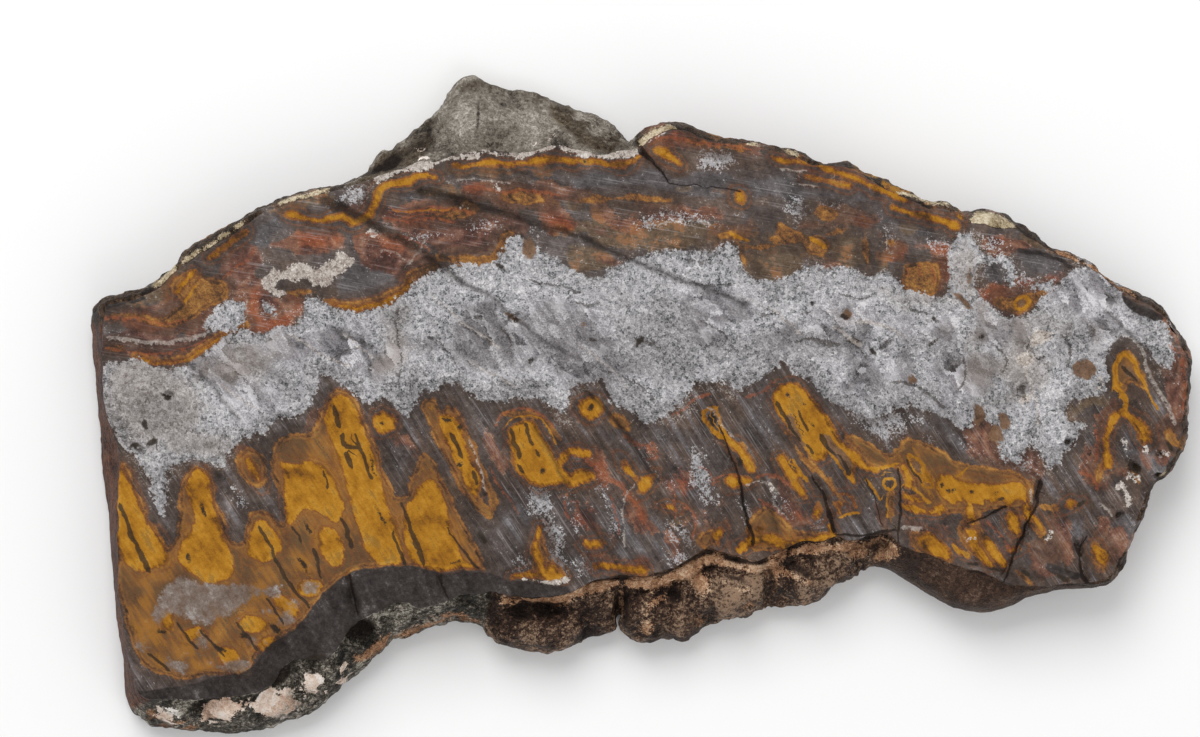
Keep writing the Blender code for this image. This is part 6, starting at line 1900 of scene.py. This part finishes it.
HEMATITE = Finish(((42, 36, 34), (66, 57, 54), (84, 75, 71), (103, 94, 91), (136, 129, 127)))
WARM_HEMATITE = Finish(((44, 34, 29), (66, 52, 45), (85, 69, 60), (104, 86, 75), (134, 115, 102)))
STEELY = Finish(
    ((46, 43, 44), (68, 65, 66), (86, 82, 83), (106, 102, 104), (146, 145, 149)), roughness=0.42
)
KHAKI = Finish(((60, 46, 34), (88, 70, 53), (106, 88, 69), (124, 108, 90), (158, 150, 142)))
RED_BROWN = Finish(
    ((58, 38, 32), (86, 56, 46), (113, 74, 58), (134, 91, 70), (152, 114, 93), (172, 152, 142)),
    Texture.BANDED,
)
DARK_RED = Finish(((48, 34, 31), (74, 49, 43), (98, 66, 56), (122, 90, 78), (158, 138, 130)), Texture.BANDED)
BRIGHT_RED = Finish(((86, 44, 31), (126, 66, 42), (152, 86, 54), (172, 128, 102)))
RUSTY = Finish(
    ((50, 38, 30), (84, 58, 40), (118, 80, 47), (146, 100, 50), (170, 125, 66)), Texture.FIBROUS, 1.3
)
GOLDEN = Finish(
    ((66, 44, 22), (110, 70, 22), (146, 97, 22), (168, 116, 30), (186, 136, 48), (200, 164, 96)),
    Texture.FIBROUS, 0.7,
)
GRAINY = Finish(
    (
        (54, 55, 58), (102, 102, 104), (139, 138, 140), (163, 161, 163), (182, 180, 182),
        (198, 196, 197), (228, 226, 225),
    ),
    Texture.SALTED,
)
SMOOTH_QUARTZ = Finish(
    ((68, 66, 69), (100, 97, 100), (123, 119, 122), (142, 138, 141), (165, 162, 166), (212, 209, 211)),
    Texture.CLEAR, roughness=0.45,
)
SHADED_GRAIN = Finish(
    ((30, 28, 27), (54, 51, 50), (84, 80, 79), (114, 110, 109), (158, 155, 154)), Texture.SALTED
)
DULL_GLASS = Finish(
    ((80, 66, 57), (102, 87, 78), (118, 105, 97), (136, 126, 120), (170, 163, 160)), contrast=1.3
)
CREAM_QUARTZ = Finish(
    ((92, 78, 70), (140, 127, 119), (172, 162, 154), (192, 184, 176), (224, 218, 210)), Texture.SALTED
)
BLACK_SEAM = Finish(
    ((26, 22, 20), (38, 33, 31), (50, 45, 43), (64, 58, 56), (104, 98, 97)), contrast=1.2, roughness=0.4
)
# dark flecks, also used as painted shade in the pits
DARK_FLECK_AND_PIT_SHADE = Finish(((24, 19, 15), (42, 35, 28), (66, 56, 45)))
RING_BROWN = Finish(((38, 30, 25), (58, 46, 39), (78, 62, 52), (102, 84, 70)))
DEEP_RUST = Finish(((62, 36, 27), (98, 56, 33), (130, 76, 38), (150, 98, 54)), contrast=1.2)
UMBER = Finish(((60, 44, 33), (94, 70, 52), (120, 91, 67), (142, 114, 90)))
# painted shade: the near-black put in open cracks, along the saw grooves, in the flank's crevices and in its
# hollows
PAINTED_CLEFT_SHADE = Finish(((14, 10, 8), (30, 22, 18), (52, 40, 33)), roughness=0.8)

SKINS = {
    Skin.SAWN: Finish(((38, 20, 15), (62, 33, 22), (92, 51, 29), (122, 77, 46)), Texture.ROUGH),
    Skin.CREST: Finish(((22, 16, 13), (46, 35, 27), (76, 58, 43), (126, 102, 78)), Texture.ROUGH, 1.1),
    Skin.PEAK: Finish(
        ((26, 22, 18), (66, 59, 51), (102, 95, 86), (128, 121, 111), (160, 153, 143), (204, 198, 190)),
        Texture.ROUGH, 0.7, roughness=0.85,
    ),
    Skin.RIND: Finish(
        ((22, 15, 12), (40, 28, 22), (56, 40, 31), (80, 60, 48), (118, 96, 80)), Texture.ROUGH, 0.8
    ),
    Skin.SHELF: Finish(
        ((10, 7, 5), (26, 17, 13), (46, 32, 25), (82, 62, 49), (148, 122, 100)), Texture.ROUGH, 1.1
    ),
    Skin.CRUST: Finish(
        ((14, 13, 11), (34, 31, 26), (60, 55, 47), (106, 99, 89), (172, 165, 153)), Texture.ROUGH, 1.2
    ),
}
TAN_SKIN = Finish(
    ((84, 58, 42), (134, 97, 71), (176, 134, 102), (214, 184, 154)), Texture.ROUGH, roughness=0.85
)
PINK_CRYSTAL = Finish(((124, 94, 76), (206, 174, 152), (238, 218, 202), (252, 246, 240)), Texture.BLOCKY, 1.3)
CREAM_CHIP = Finish(((100, 84, 62), (154, 136, 106), (198, 182, 152), (226, 214, 188)), Texture.ROUGH)
MOSSY_ROCK = Finish(((26, 21, 15), (56, 46, 35), (84, 72, 57), (124, 112, 94)), Texture.ROUGH, 0.9)
BRIGHT_SCRATCH, DARK_SCRATCH, DARK_SPECK = tone(172, 166, 166), tone(38, 32, 30), tone(40, 33, 29)
WARM_TINT, FROST, PLATE_RIM = tone(148, 133, 119), tone(182, 175, 170), tone(204, 201, 204)
STAIN, MUD, AMBER, EMBER = tone(96, 68, 34), tone(80, 61, 44), tone(158, 108, 42), tone(152, 100, 58)


@dataclass(frozen=True)
class TigerIron:
    """The whole stone's finish: its layers, one over another, and then the flank's skins.

    edge is the half width, in mm, of the step at a traced layer's edge, and fray how far fine noise
    moves it. halo is where the dark ring round the ochre begins and ends. red_line is how far outside
    the gold a thin rust line runs, and its half width. contours is how closely the ochre's rings lie.
    grain and plate are the sizes of the quartz grains and of its clear plates.
    """

    edge: float = 0.15
    fray: float = 0.2
    halo: tuple[float, float] = (-2.6, -1.2)
    halo_share: float = 0.65
    red_line: tuple[float, float] = (1.2, 0.2)
    contours: float = 7.2
    grain: float = 0.55
    plate: float = 2.2
    bump_height: float = 0.16
    specular: float = 0.12

    def fields(self, shader: Shader) -> Fields:
        """The noises, by the names that a Texture gives their strengths, and every texture's sum."""
        fields = {field.name.lower(): shader.noise(*field.value) for field in Fine}
        fields |= {broad.value: shader.attribute(broad.value) for broad in Broad}
        fields["grains"] = shader.cells(self.grain)[0]
        bend = shader.place_moved(fields["fine"] * 0.5, fields["grit"] * 0.25)
        fields["plates"], fields["plate_rims"] = shader.cells(self.plate, bend, lean=-48.0, stretch=1.7)
        fields["streaks"] = fields["level"] + (fields["steep"] - fields["level"]) * fields["lower"]
        ochre = shader.attribute(Layer.OCHRE.value)
        rings = (ochre * self.contours + fields["fine"] * 1.2 + fields["wander"]).apply("SINE")
        fields["contour"] = rings * (1 - ochre.rising(0.8, 2.2))
        fields["frayed"] = fields["grit"] * 0.4 + fields["fine"] * 0.6
        fields["fibres"] = fields["fibre"] * fields["lower"]
        fields["torn"] = fields["frayed"] * 0.7 + fields["fibres"] * 0.45 + fields["wander"] * 0.85
        fields["cut"] = fields["frayed"] * self.fray + fields["fibres"] * 0.35 + fields["wander"] * 0.12
        for texture in Texture:
            parts = (fields[name] * strength for name, strength in texture.value.items())
            fields[texture] = sum(parts, start=0.0)
        return fields

    def material(self) -> bpy.types.Material:
        """Builds the material: every layer covers the coat so far in the share its attribute gives."""
        shader = Shader("tiger_iron_stone")
        fields = self.fields(shader)
        coating = Coating(shader, fields, HEMATITE.coat(shader, fields, 0.06 - fields["lower"] * 0.06))
        self.put_dark_stone(coating)
        self.put_specks(coating)
        self.put_ochre(coating)
        self.put_gold(coating)
        self.put_granular_band(coating)
        self.put_fine_marks(coating)
        self.put_flank(coating)
        self.finish(coating)
        return shader.material

    def put_dark_stone(self, coating: "Coating") -> None:
        """Warm blots and slanting stripes in the hematite, and the red, brown and khaki layers."""
        fields = coating.fields
        mottle, wander, torn = fields["mottle"], fields["wander"], fields["torn"]
        coating.cover((fields["zones"] + mottle * 0.6).rising(-0.4, 0.8) * 0.8, WARM_HEMATITE)
        stripe = fields["stripe"] * fields["lower"]
        coating.cover(stripe.rising(0.1, 0.6) * 0.6, STEELY, 0.24)
        coating.cover((stripe * -1).rising(0.1, 0.6) * 0.65, BLACK_SEAM, 0.06)
        for layer, finish, soft in (
            (Layer.STEEL, STEELY, 0.5), (Layer.OLIVE, KHAKI, 0.35), (Layer.JASPER, RED_BROWN, 0.3),
            (Layer.MAROON, DARK_RED, 0.4), (Layer.RED, BRIGHT_RED, 0.8),
        ):
            coating.cover(coating.depth(layer, torn).rising(-soft, soft) * 0.8, finish)
        glow = (wander * 0.5 + mottle * 0.5 + fields["fine"] * 0.5).rising(0.05, 0.6)
        coating.tint(glow * coating.depth(Layer.OLIVE, torn).rising(-0.35, 0.35) * 0.55, EMBER)

    def put_specks(self, coating: "Coating") -> None:
        """White grains, frost and dark specks in the dark stone, and its bright and dark scratches."""
        fields = coating.fields
        grit, fine, mottle, streaks = (fields[name] for name in ("grit", "fine", "mottle", "streaks"))
        salt = coating.depth(Layer.SPECKLED, fields["torn"] * 0.8).rising(-1.0, 2.2) * 1.1
        salt = salt + grit * 0.5 + fields["grains"] * 0.4
        coating.cover((salt + fields["fibre"] * 0.3).rising(0.6, 0.95) * 0.8, GRAINY, -0.08)
        nearness = (coating.depth(Layer.GRANULAR) + fields["zones"] * 1.6).rising(-4.0, 0.4)
        frost = (grit * 0.55 + fine * 0.5 + mottle * 0.2 + nearness * 0.6).rising(0.85, 1.05)
        coating.tint(frost * 0.5, FROST)
        specks = (grit * 0.6 + fields["grains"] * 0.5 - fine * 0.4).rising(0.8, 1.05)
        coating.tint(specks * 0.5, DARK_SPECK)
        coating.tint(streaks.rising(0.35, 0.9) * 0.28, BRIGHT_SCRATCH)
        coating.tint((streaks * -1).rising(0.3, 0.9) * 0.4, DARK_SCRATCH)

    def put_ochre(self, coating: "Coating") -> None:
        """The ochre with its weathered heart, inside a dark ring."""
        fields = coating.fields
        grit, fine, mottle, wander = (fields[name] for name in ("grit", "fine", "mottle", "wander"))
        ochre = coating.depth(Layer.OCHRE, fields["cut"] + wander * 0.2)
        ring = ochre.rising(*self.halo) * (1 - ochre.rising(-0.2, 0.4)) * self.halo_share
        under_band = (coating.depth(Layer.GRANULAR) + wander * 0.8).rising(-2.8, -0.3)
        coating.cover(ring.apply("MAXIMUM", under_band * fields["lower"] * 0.5), RING_BROWN)
        core = ochre.rising(0.3, 1.6)
        deeper = (ochre + wander * 0.4).rising(-0.4, 1.4) * 0.24 + (grit * 0.18 + fine * 0.1) * core - 0.16
        coating.cover(ochre.rising(-0.22, 0.18), RUSTY, deeper)
        weathering = wander * 0.35 + mottle * 0.4 + fields["fibre"] * 0.6 + grit * 0.4 + fine * 0.3
        core = core * (fields["lower"] * 0.7 + 0.3)
        coating.tint(weathering.rising(-0.3, 0.6) * core * 0.85, MUD)
        coating.tint((weathering * -1).rising(0.0, 0.7) * core * 0.7, AMBER)

    def put_gold(self, coating: "Coating") -> None:
        """The golden tiger eye with its rust rim and stains, and the grey glass beside it."""
        fields = coating.fields
        grit, mottle, wander = fields["grit"], fields["mottle"], fields["wander"]
        gold = coating.depth(Layer.GOLD, fields["cut"])
        place, half = self.red_line
        line = (gold + wander * 0.3 + place).apply("ABSOLUTE") * -1 + half
        rust = line.rising(-0.12, 0.12) * 0.35
        coating.cover(rust.apply("MAXIMUM", gold.rising(-0.5, -0.22) * 0.6), DEEP_RUST)
        heart = (gold + wander * 1.4).rising(1.0, 3.0) * 0.08
        core = (gold + mottle * 0.4).rising(-0.35, 0.65) * 0.22 - heart - 0.16
        inside = gold.rising(-self.edge, self.edge)
        coating.cover(inside, GOLDEN, core)
        stains = (mottle * 0.6 + fields["fibre"] * 0.7 + grit * 0.3).rising(0.55, 1.0)
        coating.tint(stains * inside * 0.5, STAIN)
        coating.cover(coating.depth(Layer.GREY_GLASS, fields["torn"]).rising(-0.6, 0.5) * 0.8, DULL_GLASS)

    def put_granular_band(self, coating: "Coating") -> None:
        """The quartz band: grains, clear plates with their rims, warm and shaded stretches and pits."""
        shader, fields = coating.shader, coating.fields
        grit, fine, wander, frayed = (fields[name] for name in ("grit", "fine", "wander", "frayed"))
        band = coating.depth(Layer.GRANULAR) + frayed * 0.5 + fields["grains"] * 0.35
        band = band + fields["fibres"] * 0.6 + wander * 0.3
        grains = Coating(shader, fields, GRAINY.coat(shader, fields))
        clear = coating.depth(Layer.LILAC) * 0.45 + fields["plates"] * 0.7
        clear = (clear + wander * 0.9 + fields["zones"] * 0.5).rising(-1.0, 0.6)
        grains.cover(clear * 0.9, SMOOTH_QUARTZ)
        rims = fields["plate_rims"].rising(0.58, 0.85) * clear
        grains.tint(rims * fields["plates"].rising(-0.4, 0.6) * 0.6, PLATE_RIM)
        grains.tint(rims * (fields["plates"] * -1).rising(0.1, 0.9) * 0.8, DARK_SPECK)
        grains.tint(grains.depth(Layer.TAN, wander * 1.4 + fine).rising(-2.0, 3.0) * 0.4, WARM_TINT)
        grains.cover((grit * 0.7 + fine * 0.6 + wander * 0.25).rising(0.8, 1.1) * 0.6, DARK_FLECK_AND_PIT_SHADE)
        shaded = grains.depth(Layer.SHADE, wander * 1.5 + frayed).rising(-2.0, 2.6) * 0.42
        shaded = shaded.apply("MAXIMUM", (1 - (band + wander * 0.6).rising(-0.1, 1.1)) * 0.6)
        margin = 1 - (band + wander * 1.6 + fields["zones"]).rising(0.2, 4.4)
        shaded = shaded.apply("MAXIMUM", margin * (fields["lower"] * 0.3 + 0.2))
        grains.cover(shaded, SHADED_GRAIN)
        coating.coat = shader.covered(band.rising(-0.2, 0.15), coating.coat, grains.coat)

    def put_fine_marks(self, coating: "Coating") -> None:
        """Cream quartz, the black seam, islands and dark inclusions with painted shade in the pits, and then
        all the fine lines, with painted shade along the cracks and saw grooves.
        """
        shader, fields = coating.shader, coating.fields
        fine, frayed = fields["fine"], fields["frayed"]
        for layer, noise, finish in (
            (Layer.PALE, frayed * 0.4 + fields["grains"] * 0.25 + fields["mottle"] * 0.3, CREAM_QUARTZ),
            (Layer.BLACK, frayed * 0.3, BLACK_SEAM),
            (Layer.ISLAND, frayed * 0.5 + fields["fibres"] * 0.5, UMBER),
            # the ink layer holds dark inclusions and painted shade in the pits
            (Layer.INK, frayed * 0.4, DARK_FLECK_AND_PIT_SHADE),
        ):
            coating.cover(coating.depth(layer, noise).rising(-0.15, 0.2) * 0.95, finish)
        # the crack and saw-groove lines are painted shade
        for line, fray, soft, share, finish in (
            (Line.FISSURE, 0.6, 0.14, 0.7, DARK_FLECK_AND_PIT_SHADE), (Line.GILT, 0.2, 0.12, 0.95, GOLDEN),
            (Line.VEIN, 0.5, 0.16, 0.55, BRIGHT_RED), (Line.HAIR, 0.35, 0.14, 0.5, CREAM_QUARTZ),
            (Line.SAW_STEP_SHADOW, 0.1, 0.7, 0.75, PAINTED_CLEFT_SHADE), (Line.INK, 0.14, 0.1, 0.85, DARK_FLECK_AND_PIT_SHADE),
            (Line.CRACK, 0.12, 0.12, 0.9, PAINTED_CLEFT_SHADE),
        ):
            side = (shader.attribute(line.value + "_side") + frayed * fray).apply("ABSOLUTE")
            reach = shader.attribute(line.value + "_reach") + fine * (fray * 0.6) - side
            coating.cover(reach.rising(-soft, soft) * share, finish)

    def put_flank(self, coating: "Coating") -> None:
        """The flank's skins by stretch of the rim and its patches, with painted light on its rises and
        painted shade in its dips and hollows.
        """
        shader, fields = coating.shader, coating.fields
        fine, mottle, wander, frayed = (fields[name] for name in ("fine", "mottle", "wander", "frayed"))
        fall, rise = shader.attribute("fall"), shader.attribute("rise")
        bare = (mottle + fine * 0.4).rising(0.0, 0.5)
        for skin, finish in SKINS.items():
            cover = shader.attribute(skin.value).rising(0.15, 0.6)
            if skin is Skin.CREST:
                cover = cover * (1 - bare * 0.8)
            # painted light and shade: a skin's shades move up its ramp where the flank rises and down in its
            # dips
            coating.cover(cover, finish, rise * 0.1)
        sunk = (fall + wander * 0.3 + mottle * 0.25 + fine * 0.15).rising(0.7, 1.05)
        for layer, noise, soft, finish in (
            (Layer.OLIVE_ROCK, wander * 1.2 + frayed * 0.8, 0.9, MOSSY_ROCK),
            (Layer.LEDGE, wander * 0.7 + frayed, 0.35, TAN_SKIN),
            (Layer.CREAM, frayed * 0.6, 0.25, CREAM_CHIP),
            (Layer.CRYSTAL, wander * 0.8 + frayed * 0.8 + fields["plates"] * 1.1, 0.16, PINK_CRYSTAL),
            (Layer.CREVICE_SHADE, frayed * 0.6, 0.3, PAINTED_CLEFT_SHADE),
        ):
            cover = coating.depth(layer, noise).rising(-soft, soft) * (0.95 - sunk * 0.95)
            # painted light and shade: the patches too are lighter on rises and darker in dips
            coating.cover(cover, finish, rise * 0.1)
        # painted shade: the flank is darkened in its hollows, where its rise is low
        painted_hollow_shade = (1 - (rise + frayed * 0.4).rising(-1.2, 0.1)) * fall.rising(0.02, 0.08)
        coating.cover(painted_hollow_shade * 0.8, PAINTED_CLEFT_SHADE)

    def finish(self, coating: "Coating") -> None:
        """Links the coat and a fine bump, stronger on the flank, to the material's surface."""
        shader, fields = coating.shader, coating.fields
        outside = shader.attribute("fall").rising(0.02, 0.08)
        relief = fields["grit"] * (outside * 0.9 + 0.15) + fields["fine"] * (outside * 1.8)
        bump = {"Strength": 0.7, "Distance": self.bump_height * MM, "Height": relief}
        normal = shader.node("ShaderNodeBump", {}, bump).outputs["Normal"]
        inputs = shader.surface.inputs
        shader.tree.links.new(coating.coat.colour, inputs["Base Color"])
        shader.tree.links.new(coating.coat.roughness.socket, inputs["Roughness"])
        shader.tree.links.new(normal, inputs["Normal"])
        inputs["Specular IOR Level"].default_value = self.specular


@dataclass
class Coating:
    """The coat as its layers are put on, one over another."""

    shader: Shader
    fields: Fields
    coat: Coat

    def depth(self, layer: Layer, noise: Value | float = 0.0) -> Value:
        """How deep a place lies in a layer whose edge is moved by noise."""
        return noise + self.shader.attribute(layer.value)

    def cover(self, share: Value, finish: Finish, shift: Value | float = 0.0) -> None:
        """Covers the coat so far with a finish, in the given share."""
        self.coat = self.shader.covered(share, self.coat, finish.coat(self.shader, self.fields, shift))

    def tint(self, share: Value, colour: Colour) -> None:
        """Moves the coat's colour towards another, in the given share."""
        self.coat = Coat(self.shader.mix(share, self.coat.colour, colour), self.coat.roughness)


# -------------------------------------------------------------------------------------------- studio


@dataclass
class Studio:
    """A pale floor, soft lights and a camera that looks straight down on the slab."""

    floor_half: float = 2.5
    floor_colour: Colour = tone(246, 246, 246)
    sky_strength: float = 0.55
    camera_place: Place = (-0.008, 0.0073, 1.015)
    lens: float = 150.0
    key: Place = (-0.25, 0.85, 1.05)
    key_power: float = 12.0
    key_size: float = 0.9
    fill: Place = (0.5, -0.9, 0.8)
    fill_power: float = 4.0
    fill_size: float = 1.2

    def floor(self) -> bpy.types.Object:
        """A square of plain pale floor at height nothing."""
        half = self.floor_half
        mesh = bpy.data.meshes.new("floor")
        corners = [(-half, -half, 0), (half, -half, 0), (half, half, 0), (-half, half, 0)]
        mesh.from_pydata(corners, [], [(0, 1, 2, 3)])
        paint = Shader("pale_floor")
        paint.surface.inputs["Base Color"].default_value = (*self.floor_colour, 1.0)
        paint.surface.inputs["Roughness"].default_value = 0.9
        mesh.materials.append(paint.material)
        return linked(bpy.data.objects.new("floor", mesh))

    def light(self, name: str, place: Place, power: float, size: float) -> bpy.types.Object:
        """A square soft light at a place, turned to the slab."""
        lamp = bpy.data.lights.new(name, "AREA")
        lamp.energy, lamp.size = power, size
        obj = linked(bpy.data.objects.new(name, lamp))
        obj.location = place
        obj.rotation_euler = (-Vector(place)).to_track_quat("-Z", "Y").to_euler()
        return obj

    def sky(self) -> None:
        """An even pale surround."""
        world = bpy.data.worlds.new("soft_surround")
        world.use_nodes = True
        world.node_tree.nodes["Background"].inputs["Color"].default_value = (1.0, 1.0, 1.0, 1.0)
        world.node_tree.nodes["Background"].inputs["Strength"].default_value = self.sky_strength
        bpy.context.scene.world = world

    def camera(self) -> bpy.types.Object:
        """The camera, with the slab's length across its picture."""
        lens = bpy.data.cameras.new("camera")
        lens.lens = self.lens
        obj = linked(bpy.data.objects.new("camera", lens))
        obj.location = self.camera_place
        bpy.context.scene.camera = obj
        return obj

    def build(self) -> None:
        """Sets up the floor, the surround, the lights and the camera."""
        self.floor()
        self.sky()
        self.light("key_light", self.key, self.key_power, self.key_size)
        self.light("fill_light", self.fill, self.fill_power, self.fill_size)
        self.camera()
        bpy.context.scene.view_settings.view_transform = "Standard"


def linked(obj: bpy.types.Object) -> bpy.types.Object:
    """An object, put into the scene."""
    bpy.context.scene.collection.objects.link(obj)
    return obj


def main() -> None:
    """Builds the slab and its studio."""
    logging.basicConfig(level=logging.INFO, format="%(message)s")
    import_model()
    mesh = Slab().build().mesh()
    mesh.materials.append(TigerIron().material())
    stone = linked(bpy.data.objects.new("slab_stone", mesh))
    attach(stone, BODY)
    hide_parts(NODE)
    log.info("slab stone: %d points, %d faces", len(mesh.vertices), len(mesh.polygons))
    Studio().build()
    log.info("studio: floor, surround, two lights and camera")


if __name__ == "__main__":
    main()
